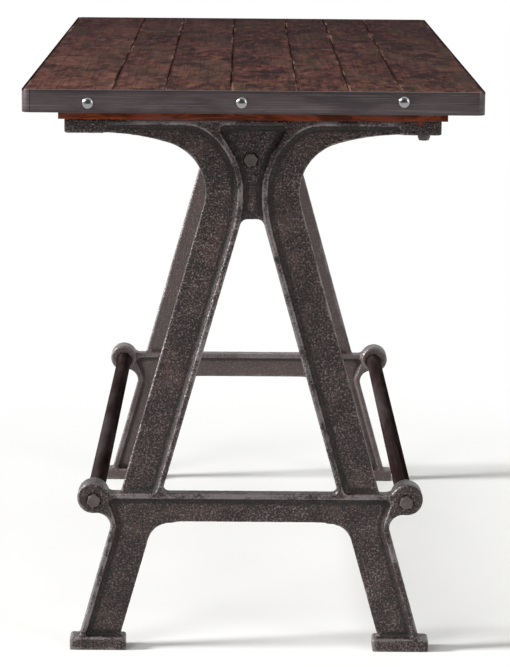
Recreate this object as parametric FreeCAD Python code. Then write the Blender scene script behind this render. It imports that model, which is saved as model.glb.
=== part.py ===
"""Standing-height work table: a plank top in a nailed steel edge band, on two cast iron A-shaped end
frames that are tied together by two round foot rails and one tie rod at the neck.

Millimetres, +Z up. X runs across the table, Y along it. The origin is on the floor under the middle.
Each casting is first drawn in the plane of its web, outer face towards -Y, and then moved to its end.
"""
import FreeCAD, Part
import math
import os

from FreeCAD import Vector

# Overall sizes
TOP_LENGTH = 1524.0          # outside of the edge band, along Y
TOP_WIDTH = 762.0            # outside of the edge band, along X
TABLE_HEIGHT = 1002.0        # floor to the top face of the planks
FRAME_INSET = 156.0          # from the end of the band to the web plane of the end frame

# Top
TOP_THICKNESS = 38.0
PLANK_SHARES = (147.0, 87.0, 110.0, 111.0, 85.0, 87.0, 135.0)   # relative widths, left to right
PLANK_GAP = 0.5
BAND_THICKNESS = 3.0
BAND_CORNER_RADIUS = 14.0
BAND_SEAM = 0.6
BAND_CLEARANCE = 0.3

# Dome nails through the band
NAIL_HEAD_RADIUS = 10.0
NAIL_HEAD_HEIGHT = 5.5
NAIL_SHANK_RADIUS = 2.0
NAIL_SHANK_LENGTH = 26.0
NAIL_CLEARANCE = 0.15
END_NAILS = ((-272.0, 22.0), (-19.5, 19.5), (247.0, 16.5))       # X, depth below the top face
SIDE_NAIL_COUNT = 5
SIDE_NAIL_DEPTH = 19.0
SIDE_NAIL_END_DISTANCE = 150.0

# Cleats between the castings and the planks
CLEAT_THICKNESS = 26.0
CLEAT_OUTER_DEPTH = 22.0     # from the web plane towards the table's end
CLEAT_INNER_DEPTH = 30.0     # from the web plane towards the table's middle
CLEAT_END_OVERHANG = 10.0    # past the end of the casting's arm
SCREW_SHANK_RADIUS = 2.5
SCREW_HEAD_RADIUS = 5.0
SCREW_HEAD_HEIGHT = 3.0
SCREW_RECESS_DEPTH = 4.0
SCREW_BITE = 22.0            # length inside the plank
SCREW_CLEARANCE = 0.15

# Casting, section
WEB_THICKNESS = 10.0
FLANGE_DEPTH = 28.0
RIB_WIDTH = 10.0
RIB_ROOT_RADIUS = 6.0
LEDGE_DEPTH = 26.0           # inner side of the top flange, from the web plane
TOP_FLANGE_THICKNESS = 10.0

# Casting, outline in the web plane
ARM_INSET = 61.0             # from the side of the band to the end of the arm
ARM_PAD_LENGTH = 68.0
ARM_PAD_THICKNESS = 24.5
ARM_UNDER_RADIUS = 400.0
ARM_UNDER_SLOPE = 16.7       # degrees, where the arm's flat curve meets the neck's round one
NECK_RADIUS = 88.0
LEG_WIDTH = 68.8             # across the leg
LEG_FLOOR_X = 269.7          # leg centre line at the floor
LEG_APEX_X = 5.6             # leg centre line at the top of the casting
PANEL_HALF_WIDTH = 15.8      # between the neck ribs at their closest
PANEL_RIB_RADIUS = 140.0
PANEL_RIB_LEAN = 32.0        # degrees from upright
PANEL_CORNER_RADIUS = 8.0
ARCH_HALF_WIDTH = 18.3
ARCH_RADIUS = 13.0
WEB_LEAN = 50.0              # degrees from upright, web side of the neck rib
WEB_CORNER_RADIUS = 70.0
POCKET_CORNER_RADIUS = 9.0   # no smaller than the rib's root radius
POCKET_OVERRUN = 9.5         # how far a recess runs past the plain edges that it is open to

# Crossbar, ears and feet
CROSSBAR_TOP = 283.0
CROSSBAR_BOTTOM = 231.0
CROSSBAR_RIB = 9.5
CROSSBAR_CORNER_RADIUS = 8.0
CROSSBAR_UNDER_RADIUS = 40.0
CROSSBAR_UNDER_LONG_RADIUS = 300.0
CROSSBAR_UNDER_SLOPE = 9.0   # degrees
EAR_RADIUS = 27.5
EAR_REACH = 45.8             # from the leg's outer edge to the ear's centre
EAR_RISE = -8.5              # ear centre from the crossbar's top
EAR_INNER_DEPTH = 26.0
EAR_TOP_FILLET = 12.0
EAR_UNDER_FILLET = 24.0
EAR_POCKET_HEADING = 70.0    # degrees
FOOT_WIDTH = 98.0
FOOT_DEPTH = 40.0
FOOT_HEIGHT = 23.0
FOOT_CORNER_RADIUS = 4.0
FOOT_TOP_RADIUS = 3.0

# Foot rails, tie rod and the bolts that hold them
RAIL_DIAMETER = 30.0
RAIL_DROP = 4.0              # rail axis below the ear's centre
RAIL_SIDE_SHIFT = 1.5        # rail axis inside the ear's centre
SOCKET_DEPTH = 20.0
SOCKET_CLEARANCE = 0.2
TIE_ROD_DIAMETER = 24.0
TIE_ROD_SHIFT = -3.5
TIE_ROD_DROP = 69.0          # tie rod axis below the top of the casting
BOLT_DIAMETER = 14.0
BOLT_FLATS = 21.0
BOLT_HEAD_HEIGHT = 9.0
BOLT_BITE = 30.0
BOLT_CLEARANCE = 0.3
BOLT_RECESS_MARGIN = 1.6     # around the head's corners
BOLT_RECESS_DEPTH = 2.0
BOLT_CROWN = 0.9             # chamfer of the head's outer corners

# Fixings between the castings and the cleats
ARM_BOLT_INSET = 29.0        # from the end of the arm
ARM_BOLT_DIAMETER = 10.0
ARM_BOLT_FLATS = 16.0
ARM_BOLT_HEAD_HEIGHT = 6.5
ARM_BOLT_BITE = 14.0         # length inside the plank
WASHER_RADIUS = 13.0
WASHER_THICKNESS = 3.0
LEDGE_SCREW_INSET = 105.0    # outer pair, from the end of the arm
LEDGE_SCREW_INNER_X = 135.0  # inner pair, just outside the neck
LEDGE_SCREW_OFFSET = 16.0    # from the web plane
LEDGE_SCREW_DIAMETER = 6.0
LEDGE_SCREW_FLATS = 10.0
LEDGE_SCREW_HEAD_HEIGHT = 4.0
LEDGE_SCREW_BITE = 18.0      # length inside the cleat

# Places that follow from the sizes above
PLANK_BOTTOM = TABLE_HEIGHT - TOP_THICKNESS
CASTING_TOP = PLANK_BOTTOM - CLEAT_THICKNESS
WEB_PLANE = TOP_LENGTH / 2 - FRAME_INSET
HALF_WEB = WEB_THICKNESS / 2
HALF_FLANGE = FLANGE_DEPTH / 2
ARM_END = TOP_WIDTH / 2 - ARM_INSET
LEG_LEAN = math.atan((LEG_FLOOR_X - LEG_APEX_X) / CASTING_TOP)
HALF_LEG = LEG_WIDTH / 2 / math.cos(LEG_LEAN)
EAR_Z = CROSSBAR_TOP + EAR_RISE
RAIL_Z = EAR_Z - RAIL_DROP
FLANGE_UNDERSIDE = CASTING_TOP - TOP_FLANGE_THICKNESS
SOCKET_FLOOR = EAR_INNER_DEPTH - SOCKET_DEPTH
ARM_BOLT_X = ARM_END - ARM_BOLT_INSET
LEDGE_SCREW_OUTER_X = ARM_END - LEDGE_SCREW_INSET
LEDGE_SCREW_X = (-LEDGE_SCREW_OUTER_X, -LEDGE_SCREW_INNER_X, LEDGE_SCREW_INNER_X, LEDGE_SCREW_OUTER_X)
PAST = 5.0                   # how far a cutting tool runs past a face


def leg_x(z, side, inset=0.0):
    """X of a leg's edge at height z: side 1 is the outer edge, -1 the inner one, inset into the leg."""
    middle = LEG_FLOOR_X - z * math.tan(LEG_LEAN)
    return middle + side * (HALF_LEG - inset / math.cos(LEG_LEAN))


def leg_z(x, side, inset=0.0):
    """Height at which that edge reaches x."""
    return (leg_x(0.0, side, inset) - x) / math.tan(LEG_LEAN)


EAR_X = leg_x(EAR_Z, 1) + EAR_REACH
RAIL_X = EAR_X - RAIL_SIDE_SHIFT


def rounded_wire(corners, y):
    """Closed wire in the plane Y = y through corners (x, z, radius), each rounded by a tangent arc."""
    points = [Vector(x, y, z) for x, z, _ in corners]
    stretches = []
    for i, (_, _, radius) in enumerate(corners):
        corner = points[i]
        if radius == 0:
            stretches.append((corner, None, corner))
            continue
        back = (points[i - 1] - corner).normalize()
        ahead = (points[(i + 1) % len(points)] - corner).normalize()
        half_angle = back.getAngle(ahead) / 2
        reach = radius / math.tan(half_angle)
        bisector = (back + ahead).normalize()
        middle = corner + bisector * (radius / math.sin(half_angle) - radius)
        stretches.append((corner + back * reach, middle, corner + ahead * reach))
    edges = []
    for i, (start, middle, end) in enumerate(stretches):
        if middle is not None:
            edges.append(Part.Arc(start, middle, end).toShape())
        following = stretches[(i + 1) % len(stretches)][0]
        if end.distanceToPoint(following) > 1e-4:
            edges.append(Part.makeLine(end, following))
    return Part.Wire(edges)


def prism(wire, depth):
    """Solid of a wire in an XZ plane, pushed depth along +Y."""
    return Part.Face(wire).extrude(Vector(0, depth, 0))


def mirrored_corners(half):
    """A whole outline from the corners of its right half, listed from top to bottom."""
    return half + [(-x, z, radius) for x, z, radius in reversed(half)]


def both_sides(shape):
    """A shape on the right and its mirror image on the left."""
    return [shape, shape.mirror(Vector(0, 0, 0), Vector(1, 0, 0))]


def hex_prism(flats, height, base, direction):
    """Hexagonal bar of that size across its flats, from base along direction."""
    corner = flats / math.sqrt(3)
    turn = FreeCAD.Rotation(Vector(0, 0, 1), direction)
    ring = [Vector(corner * math.cos(math.radians(60 * k)), corner * math.sin(math.radians(60 * k)), 0)
            for k in range(7)]
    ring = [base + turn.multVec(point) for point in ring]
    return Part.Face(Part.makePolygon(ring)).extrude(direction * height)


def hex_bolt(diameter, flats, head_height, shank_length, seat, direction):
    """Bolt whose head sits on the point seat and stands out along direction; the shank goes the other way."""
    head = hex_prism(flats, head_height, seat, direction)
    corner = flats / math.sqrt(3)
    blank = Part.makeCylinder(corner, head_height - BOLT_CROWN, seat, direction)
    crown = Part.makeCone(corner, corner - 2 * BOLT_CROWN, BOLT_CROWN,
                          seat + direction * (head_height - BOLT_CROWN), direction)
    head = head.common(blank.fuse(crown))
    shank = Part.makeCylinder(diameter / 2, shank_length, seat, direction * -1)
    return head.fuse(shank).removeSplitter()


def neck_geometry():
    """Corners of the arm's underside and the neck's outer edge, and the height of the narrowest place."""
    slope = math.radians(ARM_UNDER_SLOPE)
    reach_flat = ARM_UNDER_RADIUS * math.tan(slope / 2)
    turn = math.pi / 2 + LEG_LEAN - slope
    reach_round = NECK_RADIUS * math.tan(turn / 2)
    run = reach_flat + reach_round
    pad_bottom = CASTING_TOP - ARM_PAD_THICKNESS
    low_z = pad_bottom - run * math.sin(slope)
    low_x = leg_x(low_z, 1)
    high_x = low_x + run * math.cos(slope)
    room = ARM_BOLT_X - WASHER_RADIUS - high_x
    flat_radius = min(ARM_UNDER_RADIUS, room / math.tan(slope / 2))
    start_z = low_z - reach_round * math.cos(LEG_LEAN)
    narrow_z = start_z + NECK_RADIUS * math.sin(LEG_LEAN)
    return (high_x, pad_bottom, flat_radius), (low_x, low_z, NECK_RADIUS), narrow_z


ARM_CORNER, NECK_CORNER, NECK_Z = neck_geometry()


def casting_outline():
    """Everything inside the outer edge of the casting, without ears and feet."""
    leg_bottom = FOOT_HEIGHT / 2
    half = [
        (ARM_END, CASTING_TOP, 2.0),
        (ARM_END, ARM_CORNER[1], 3.0),
        ARM_CORNER,
        NECK_CORNER,
        (leg_x(leg_bottom, 1), leg_bottom, 0),
        (leg_x(leg_bottom, -1), leg_bottom, 0),
    ]
    slope = math.radians(CROSSBAR_UNDER_SLOPE)
    long_reach = CROSSBAR_UNDER_LONG_RADIUS * math.tan(slope / 2)
    short_reach = CROSSBAR_UNDER_RADIUS * math.tan((math.pi / 2 - LEG_LEAN - slope) / 2)
    run = long_reach + short_reach
    corner_z = CROSSBAR_BOTTOM - run * math.sin(slope)
    corner_x = leg_x(corner_z, -1)
    half.append((corner_x, corner_z, CROSSBAR_UNDER_RADIUS))
    half.append((corner_x - run * math.cos(slope), CROSSBAR_BOTTOM, CROSSBAR_UNDER_LONG_RADIUS))
    return rounded_wire(mirrored_corners(half), -HALF_FLANGE)


def triangle_opening():
    """The tall opening between the upper legs, from the crossbar up to the arch under the neck."""
    half = [
        (ARCH_HALF_WIDTH, leg_z(ARCH_HALF_WIDTH, -1), ARCH_RADIUS),
        (leg_x(CROSSBAR_TOP, -1), CROSSBAR_TOP, CROSSBAR_CORNER_RADIUS),
    ]
    return rounded_wire(mirrored_corners(half), -EAR_INNER_DEPTH - PAST)


def ear_lug():
    """Right-hand lug that carries the ear, with its fillets to the crossbar's top and the lower leg."""
    y = -HALF_FLANGE
    ear = Vector(EAR_X, y, EAR_Z)
    rise = CROSSBAR_TOP + EAR_TOP_FILLET - EAR_Z
    away = math.sqrt((EAR_RADIUS + EAR_TOP_FILLET) ** 2 - rise ** 2)
    top_centre = ear + Vector(-away, 0, rise)
    top_start = top_centre - Vector(0, 0, EAR_TOP_FILLET)
    top_end = ear + (top_centre - ear).normalize() * EAR_RADIUS
    bulge = ((top_start - top_centre) + (top_end - top_centre)).normalize()
    top_arc = Part.Arc(top_start, top_centre + bulge * EAR_TOP_FILLET, top_end)

    outward = Vector(math.cos(LEG_LEAN), 0, math.sin(LEG_LEAN))
    edge_distance = EAR_REACH * math.cos(LEG_LEAN)
    swing = math.acos((EAR_UNDER_FILLET - edge_distance) / (EAR_RADIUS + EAR_UNDER_FILLET))
    heading = LEG_LEAN - swing
    aim = Vector(math.cos(heading), 0, math.sin(heading))
    low_centre = ear + aim * (EAR_RADIUS + EAR_UNDER_FILLET)
    low_start = ear + aim * EAR_RADIUS
    low_end = low_centre - outward * EAR_UNDER_FILLET
    bulge = ((low_start - low_centre) + (low_end - low_centre)).normalize()
    low_arc = Part.Arc(low_start, low_centre + bulge * EAR_UNDER_FILLET, low_end)

    inside_x = leg_x(EAR_Z, 0)
    inside_top = Vector(inside_x, y, CROSSBAR_TOP)
    inside_low = Vector(inside_x, y, low_end.z)
    wire = Part.Wire([
        Part.makeLine(inside_top, top_start), top_arc.toShape(), Part.makeLine(top_end, ear),
        Part.makeLine(ear, low_start), low_arc.toShape(), Part.makeLine(low_end, inside_low),
        Part.makeLine(inside_low, inside_top),
    ])
    disc = Part.makeCylinder(EAR_RADIUS, HALF_FLANGE + EAR_INNER_DEPTH, ear, Vector(0, 1, 0))
    return prism(wire, FLANGE_DEPTH).fuse(disc), low_centre


def panel_pocket():
    """Corners of the recess between the neck ribs."""
    join_z = leg_z(PANEL_HALF_WIDTH, -1)
    lower_radius = (NECK_Z - join_z) / math.tan(LEG_LEAN / 2)
    lean = math.radians(PANEL_RIB_LEAN)
    bend_z = NECK_Z + PANEL_RIB_RADIUS * math.tan(lean / 2)
    top_x = PANEL_HALF_WIDTH + (FLANGE_UNDERSIDE - bend_z) * math.tan(lean)
    arch_z = leg_z(ARCH_HALF_WIDTH, -1)
    bottom_z = min(arch_z - 2 * ARCH_RADIUS, join_z - lower_radius * math.sin(LEG_LEAN / 2) * 2.2)
    half = [
        (top_x, FLANGE_UNDERSIDE, PANEL_CORNER_RADIUS),
        (PANEL_HALF_WIDTH, bend_z, PANEL_RIB_RADIUS),
        (PANEL_HALF_WIDTH, join_z, lower_radius),
        (leg_x(bottom_z, -1), bottom_z, POCKET_CORNER_RADIUS),
    ]
    return mirrored_corners(half)


def upper_pocket():
    """Corners of the right-hand recess of the upper leg and the arm, open along their outer edge."""
    rib_x = PANEL_HALF_WIDTH + RIB_WIDTH
    join_z = leg_z(rib_x, -1, RIB_WIDTH)
    lower_radius = (NECK_Z - join_z) / math.tan(LEG_LEAN / 2)
    upper_radius = PANEL_RIB_RADIUS - RIB_WIDTH
    lean = math.radians(WEB_LEAN)
    bend_z = NECK_Z + upper_radius * math.tan(lean / 2)
    top_x = rib_x + (FLANGE_UNDERSIDE - bend_z) * math.tan(lean)
    slant = (FLANGE_UNDERSIDE - bend_z) / math.cos(lean)
    room = (slant - upper_radius * math.tan(lean / 2)) / math.tan((math.pi / 2 - lean) / 2)
    corner_radius = min(WEB_CORNER_RADIUS, 0.98 * room)
    pad_x = ARM_END - ARM_PAD_LENGTH
    outside_x = leg_x(CROSSBAR_TOP, 1) + POCKET_OVERRUN
    return [
        (pad_x, FLANGE_UNDERSIDE, POCKET_CORNER_RADIUS),
        (top_x, FLANGE_UNDERSIDE, corner_radius),
        (rib_x, bend_z, upper_radius),
        (rib_x, join_z, lower_radius),
        (leg_x(CROSSBAR_TOP, -1, RIB_WIDTH), CROSSBAR_TOP, POCKET_CORNER_RADIUS),
        (outside_x, CROSSBAR_TOP, POCKET_CORNER_RADIUS),
        (max(outside_x, pad_x), NECK_Z, POCKET_CORNER_RADIUS),
    ]


def lower_pocket(fillet_centre):
    """Corners of the recess under the crossbar's rib, which runs down both lower legs."""
    radius = EAR_UNDER_FILLET + RIB_WIDTH
    heading = math.radians(EAR_POCKET_HEADING)
    turn = math.pi / 2 + LEG_LEAN - heading
    reach = radius * math.tan(turn / 2)
    touch = fillet_centre - Vector(math.cos(LEG_LEAN), 0, math.sin(LEG_LEAN)) * radius
    bend = touch + Vector(-math.sin(LEG_LEAN), 0, math.cos(LEG_LEAN)) * reach
    rib_bottom = CROSSBAR_TOP - CROSSBAR_RIB
    half = [
        (bend.x + (rib_bottom - bend.z) / math.tan(heading), rib_bottom, POCKET_CORNER_RADIUS),
        (bend.x, bend.z, radius),
        (leg_x(-POCKET_OVERRUN, 1, RIB_WIDTH), -POCKET_OVERRUN, POCKET_CORNER_RADIUS),
    ]
    return mirrored_corners(half)


def pocket_tool(corners, outer):
    """Cutting tool that leaves the web, with its floor edges rounded as a cast rib's root is."""
    depth = HALF_FLANGE - HALF_WEB + LEDGE_DEPTH
    start = -HALF_WEB - depth if outer else HALF_WEB
    solid = prism(rounded_wire(corners, start), depth)
    floor_y = -HALF_WEB if outer else HALF_WEB
    floor = [edge for edge in solid.Edges
             if abs(edge.BoundBox.YMin - floor_y) < 1e-6 and abs(edge.BoundBox.YMax - floor_y) < 1e-6]
    return solid.makeFillet(RIB_ROOT_RADIUS, floor)


def foot_block():
    """Right-hand foot pad."""
    centre_x = leg_x(FOOT_HEIGHT / 2, 0)
    block = Part.makeBox(FOOT_WIDTH, FOOT_DEPTH, FOOT_HEIGHT,
                         Vector(centre_x - FOOT_WIDTH / 2, -FOOT_DEPTH / 2, 0))
    upright = [edge for edge in block.Edges if edge.BoundBox.ZLength > FOOT_HEIGHT / 2]
    block = block.makeFillet(FOOT_CORNER_RADIUS, upright)
    top = [edge for edge in block.Edges if edge.BoundBox.ZMin > FOOT_HEIGHT - 1e-6]
    return block.makeFillet(FOOT_TOP_RADIUS, top)


def bolt_recess_radius():
    """Radius of the round recess that clears a bolt head's corners."""
    return BOLT_FLATS / math.sqrt(3) + BOLT_RECESS_MARGIN


def hole(x, z, radius, y_from, y_to):
    """Round cutting tool along Y."""
    return Part.makeCylinder(radius, y_to - y_from, Vector(x, y_from, z), Vector(0, 1, 0))


def end_frame():
    """One casting, drawn about its own web plane with the table's end towards -Y."""
    body = prism(casting_outline(), FLANGE_DEPTH)
    lug, fillet_centre = ear_lug()
    body = body.fuse(both_sides(lug))
    ledge = Part.makeBox(2 * ARM_END, LEDGE_DEPTH, TOP_FLANGE_THICKNESS,
                         Vector(-ARM_END, 0, FLANGE_UNDERSIDE))
    opening = prism(triangle_opening(), 2 * (EAR_INNER_DEPTH + PAST))
    tools = [opening]
    for outer in (True, False):
        tools.append(pocket_tool(panel_pocket(), outer))
        tools.extend(both_sides(pocket_tool(upper_pocket(), outer)))
        tools.append(pocket_tool(lower_pocket(fillet_centre), outer))
    body = body.cut(tools).fuse([ledge] + both_sides(foot_block()))

    bolt_radius = BOLT_DIAMETER / 2 + BOLT_CLEARANCE
    socket_radius = RAIL_DIAMETER / 2 + SOCKET_CLEARANCE
    recess_radius = bolt_recess_radius()
    drills = []
    for x in (-RAIL_X, RAIL_X):
        drills.append(hole(x, RAIL_Z, bolt_radius, -HALF_FLANGE - PAST, EAR_INNER_DEPTH + PAST))
        drills.append(hole(x, RAIL_Z, recess_radius, -HALF_FLANGE - PAST, -HALF_FLANGE + BOLT_RECESS_DEPTH))
        drills.append(hole(x, RAIL_Z, socket_radius, SOCKET_FLOOR, EAR_INNER_DEPTH + PAST))
    tie_z = CASTING_TOP - TIE_ROD_DROP
    drills.append(hole(TIE_ROD_SHIFT, tie_z, bolt_radius, -HALF_FLANGE, HALF_FLANGE))
    drills.append(hole(TIE_ROD_SHIFT, tie_z, recess_radius, -HALF_FLANGE, -HALF_WEB + BOLT_RECESS_DEPTH))
    for x, y, radius in fixing_places():
        drills.append(Part.makeCylinder(radius, ARM_PAD_THICKNESS + 2 * PAST,
                                        Vector(x, y, CASTING_TOP - ARM_PAD_THICKNESS - PAST)))
    return body.cut(drills).removeSplitter()


def fixing_places():
    """X, Y and hole radius of each upward fixing of a casting, about its own web plane."""
    places = [(ARM_BOLT_X, 0.0, ARM_BOLT_DIAMETER / 2 + BOLT_CLEARANCE)]
    ledge_radius = LEDGE_SCREW_DIAMETER / 2 + BOLT_CLEARANCE
    places.extend((x, LEDGE_SCREW_OFFSET, ledge_radius) for x in LEDGE_SCREW_X)
    return places


def to_front(shape):
    """Moves a shape from the web plane to the front end."""
    return shape.translated(Vector(0, -WEB_PLANE, 0))


def to_rear(shape):
    """Mirrors a shape to the rear end."""
    return to_front(shape).mirror(Vector(0, 0, 0), Vector(0, 1, 0))


def rail_bolts():
    """The foot rail bolts of one end."""
    seat_y = -HALF_FLANGE + BOLT_RECESS_DEPTH
    length = SOCKET_FLOOR - seat_y + BOLT_BITE
    return [hex_bolt(BOLT_DIAMETER, BOLT_FLATS, BOLT_HEAD_HEIGHT, length,
                     Vector(x, seat_y, RAIL_Z), Vector(0, -1, 0)) for x in (-RAIL_X, RAIL_X)]


def tie_bolt():
    """The tie rod bolt of one end."""
    seat_y = -HALF_WEB + BOLT_RECESS_DEPTH
    length = HALF_WEB - seat_y + BOLT_BITE
    return hex_bolt(BOLT_DIAMETER, BOLT_FLATS, BOLT_HEAD_HEIGHT, length,
                    Vector(TIE_ROD_SHIFT, seat_y, CASTING_TOP - TIE_ROD_DROP), Vector(0, -1, 0))


def round_bar(x, z, diameter, half_length):
    """Bar along Y with a tapped hole in each end."""
    bar = Part.makeCylinder(diameter / 2, 2 * half_length, Vector(x, -half_length, z), Vector(0, 1, 0))
    depth = BOLT_BITE + PAST
    tap_radius = BOLT_DIAMETER / 2 + BOLT_CLEARANCE
    taps = [hole(x, z, tap_radius, -half_length, -half_length + depth),
            hole(x, z, tap_radius, half_length - depth, half_length)]
    return bar.cut(taps)


def washer():
    """The washer under an arm pad."""
    base = Vector(ARM_BOLT_X, 0, CASTING_TOP - ARM_PAD_THICKNESS - WASHER_THICKNESS)
    disc = Part.makeCylinder(WASHER_RADIUS, WASHER_THICKNESS, base)
    return disc.cut(Part.makeCylinder(ARM_BOLT_DIAMETER / 2 + BOLT_CLEARANCE, WASHER_THICKNESS, base))


def arm_bolt():
    """The bolt up through an arm pad and the cleat into a plank."""
    seat_z = CASTING_TOP - ARM_PAD_THICKNESS - WASHER_THICKNESS
    length = PLANK_BOTTOM - seat_z + ARM_BOLT_BITE
    return hex_bolt(ARM_BOLT_DIAMETER, ARM_BOLT_FLATS, ARM_BOLT_HEAD_HEIGHT, length,
                    Vector(ARM_BOLT_X, 0, seat_z), Vector(0, 0, -1))


def ledge_screws():
    """The hexagon screws up through the top flange into the cleat."""
    length = TOP_FLANGE_THICKNESS + LEDGE_SCREW_BITE
    return [hex_bolt(LEDGE_SCREW_DIAMETER, LEDGE_SCREW_FLATS, LEDGE_SCREW_HEAD_HEIGHT, length,
                     Vector(x, LEDGE_SCREW_OFFSET, FLANGE_UNDERSIDE), Vector(0, 0, -1))
            for x in LEDGE_SCREW_X]


def plank_edges():
    """Left and right X of each plank."""
    inside = TOP_WIDTH - 2 * (BAND_THICKNESS + BAND_CLEARANCE)
    usable = inside - PLANK_GAP * (len(PLANK_SHARES) - 1)
    left = -inside / 2
    edges = []
    for share in PLANK_SHARES:
        right = left + usable * share / sum(PLANK_SHARES)
        edges.append((left, right))
        left = right + PLANK_GAP
    return edges


def plank_screw_places():
    """X of the screw that holds each plank to a cleat."""
    half_cleat = ARM_END + CLEAT_END_OVERHANG
    margin = 2 * SCREW_HEAD_RADIUS
    places = []
    for left, right in plank_edges():
        inner, outer = max(left, -half_cleat), min(right, half_cleat)
        places.append(min(max((left + right) / 2, inner + margin), outer - margin))
    return places


def cleat_screws():
    """The wood screws of one cleat."""
    seat_z = CASTING_TOP + SCREW_RECESS_DEPTH
    length = PLANK_BOTTOM - seat_z + SCREW_BITE
    screws = []
    for x in plank_screw_places():
        head = Part.makeCylinder(SCREW_HEAD_RADIUS, SCREW_HEAD_HEIGHT, Vector(x, 0, seat_z - SCREW_HEAD_HEIGHT))
        shank = Part.makeCylinder(SCREW_SHANK_RADIUS, length, Vector(x, 0, seat_z))
        screws.append(head.fuse(shank).removeSplitter())
    return screws


def cleat():
    """One cleat, about the web plane."""
    length = 2 * (ARM_END + CLEAT_END_OVERHANG)
    bar = Part.makeBox(length, CLEAT_OUTER_DEPTH + CLEAT_INNER_DEPTH, CLEAT_THICKNESS,
                       Vector(-length / 2, -CLEAT_OUTER_DEPTH, CASTING_TOP))
    tools = []
    for x in plank_screw_places():
        tools.append(Part.makeCylinder(SCREW_HEAD_RADIUS + SCREW_CLEARANCE, SCREW_RECESS_DEPTH,
                                       Vector(x, 0, CASTING_TOP)))
        tools.append(Part.makeCylinder(SCREW_SHANK_RADIUS + SCREW_CLEARANCE, CLEAT_THICKNESS,
                                       Vector(x, 0, CASTING_TOP)))
    tools.append(Part.makeCylinder(ARM_BOLT_DIAMETER / 2 + BOLT_CLEARANCE, CLEAT_THICKNESS,
                                   Vector(ARM_BOLT_X, 0, CASTING_TOP)))
    for x in LEDGE_SCREW_X:
        tools.append(Part.makeCylinder(LEDGE_SCREW_DIAMETER / 2 + BOLT_CLEARANCE, LEDGE_SCREW_BITE + 2.0,
                                       Vector(x, LEDGE_SCREW_OFFSET, CASTING_TOP)))
    return bar.cut(tools)


def nail_places():
    """Seat point and outward direction of each dome nail."""
    places = []
    half_length, half_width = TOP_LENGTH / 2, TOP_WIDTH / 2
    for x, depth in END_NAILS:
        places.append((Vector(x, -half_length, TABLE_HEIGHT - depth), Vector(0, -1, 0)))
        places.append((Vector(-x, half_length, TABLE_HEIGHT - depth), Vector(0, 1, 0)))
    reach = half_length - SIDE_NAIL_END_DISTANCE
    for k in range(SIDE_NAIL_COUNT):
        y = -reach + 2 * reach * k / (SIDE_NAIL_COUNT - 1)
        for side in (-1, 1):
            places.append((Vector(side * half_width, y, TABLE_HEIGHT - SIDE_NAIL_DEPTH), Vector(side, 0, 0)))
    return places


def dome_nail(seat, direction):
    """A nail with a domed head, seated on the band."""
    ball_radius = (NAIL_HEAD_RADIUS ** 2 + NAIL_HEAD_HEIGHT ** 2) / (2 * NAIL_HEAD_HEIGHT)
    ball = Part.makeSphere(ball_radius, seat - direction * (ball_radius - NAIL_HEAD_HEIGHT))
    slab = Part.makeCylinder(NAIL_HEAD_RADIUS * 2, NAIL_HEAD_HEIGHT * 2, seat, direction)
    shank = Part.makeCylinder(NAIL_SHANK_RADIUS, NAIL_SHANK_LENGTH, seat, direction * -1)
    return ball.common(slab).fuse(shank)


def nail_holes():
    """One cutting tool for each nail's shank."""
    return [Part.makeCylinder(NAIL_SHANK_RADIUS + NAIL_CLEARANCE, NAIL_SHANK_LENGTH + NAIL_CLEARANCE,
                              seat, direction * -1) for seat, direction in nail_places()]


def rounded_slab(inset, radius):
    """The top's rounded rectangle, inset from the band's outside, through the full thickness."""
    width, length = TOP_WIDTH - 2 * inset, TOP_LENGTH - 2 * inset
    slab = Part.makeBox(width, length, TOP_THICKNESS, Vector(-width / 2, -length / 2, PLANK_BOTTOM))
    upright = [edge for edge in slab.Edges if edge.BoundBox.ZLength > TOP_THICKNESS / 2]
    return slab.makeFillet(radius, upright)


def edge_bands():
    """Two L-shaped strips, each round two corners: front with right, rear with left."""
    ring = rounded_slab(0.0, BAND_CORNER_RADIUS).cut(
        rounded_slab(BAND_THICKNESS, BAND_CORNER_RADIUS - BAND_THICKNESS))
    ring = ring.cut(nail_holes())
    half_width, half_length = TOP_WIDTH / 2, TOP_LENGTH / 2
    seam_x = half_width - BAND_CORNER_RADIUS
    strips = []
    for turn in (0, 180):
        block = Part.makeBox(seam_x + half_width + PAST, 2 * BAND_CORNER_RADIUS, TOP_THICKNESS,
                             Vector(-seam_x + BAND_SEAM / 2, -half_length - PAST, PLANK_BOTTOM))
        side = Part.makeBox(2 * BAND_CORNER_RADIUS, TOP_LENGTH + 2 * PAST, TOP_THICKNESS,
                            Vector(seam_x + BAND_SEAM / 2, -half_length - PAST, PLANK_BOTTOM))
        half = block.fuse(side)
        half.rotate(Vector(0, 0, 0), Vector(0, 0, 1), turn)
        strips.append(ring.common(half))
    return strips


def planks():
    """The planks, trimmed to the rounded corners, drilled for nails, screws and arm bolts."""
    inset = BAND_THICKNESS + BAND_CLEARANCE
    outline = rounded_slab(inset, BAND_CORNER_RADIUS - BAND_THICKNESS)
    drills = nail_holes()
    for y in (-WEB_PLANE, WEB_PLANE):
        for x in plank_screw_places():
            drills.append(Part.makeCylinder(SCREW_SHANK_RADIUS + SCREW_CLEARANCE, SCREW_BITE + 2.0,
                                            Vector(x, y, PLANK_BOTTOM)))
        drills.append(Part.makeCylinder(ARM_BOLT_DIAMETER / 2 + BOLT_CLEARANCE, ARM_BOLT_BITE + 2.0,
                                        Vector(ARM_BOLT_X, y, PLANK_BOTTOM)))
    boards = []
    for left, right in plank_edges():
        board = Part.makeBox(right - left, TOP_LENGTH, TOP_THICKNESS,
                             Vector(left, -TOP_LENGTH / 2, PLANK_BOTTOM)).common(outline)
        near = [drill for drill in drills if drill.BoundBox.intersect(board.BoundBox)]
        boards.append(board.cut(near))
    return boards


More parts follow.
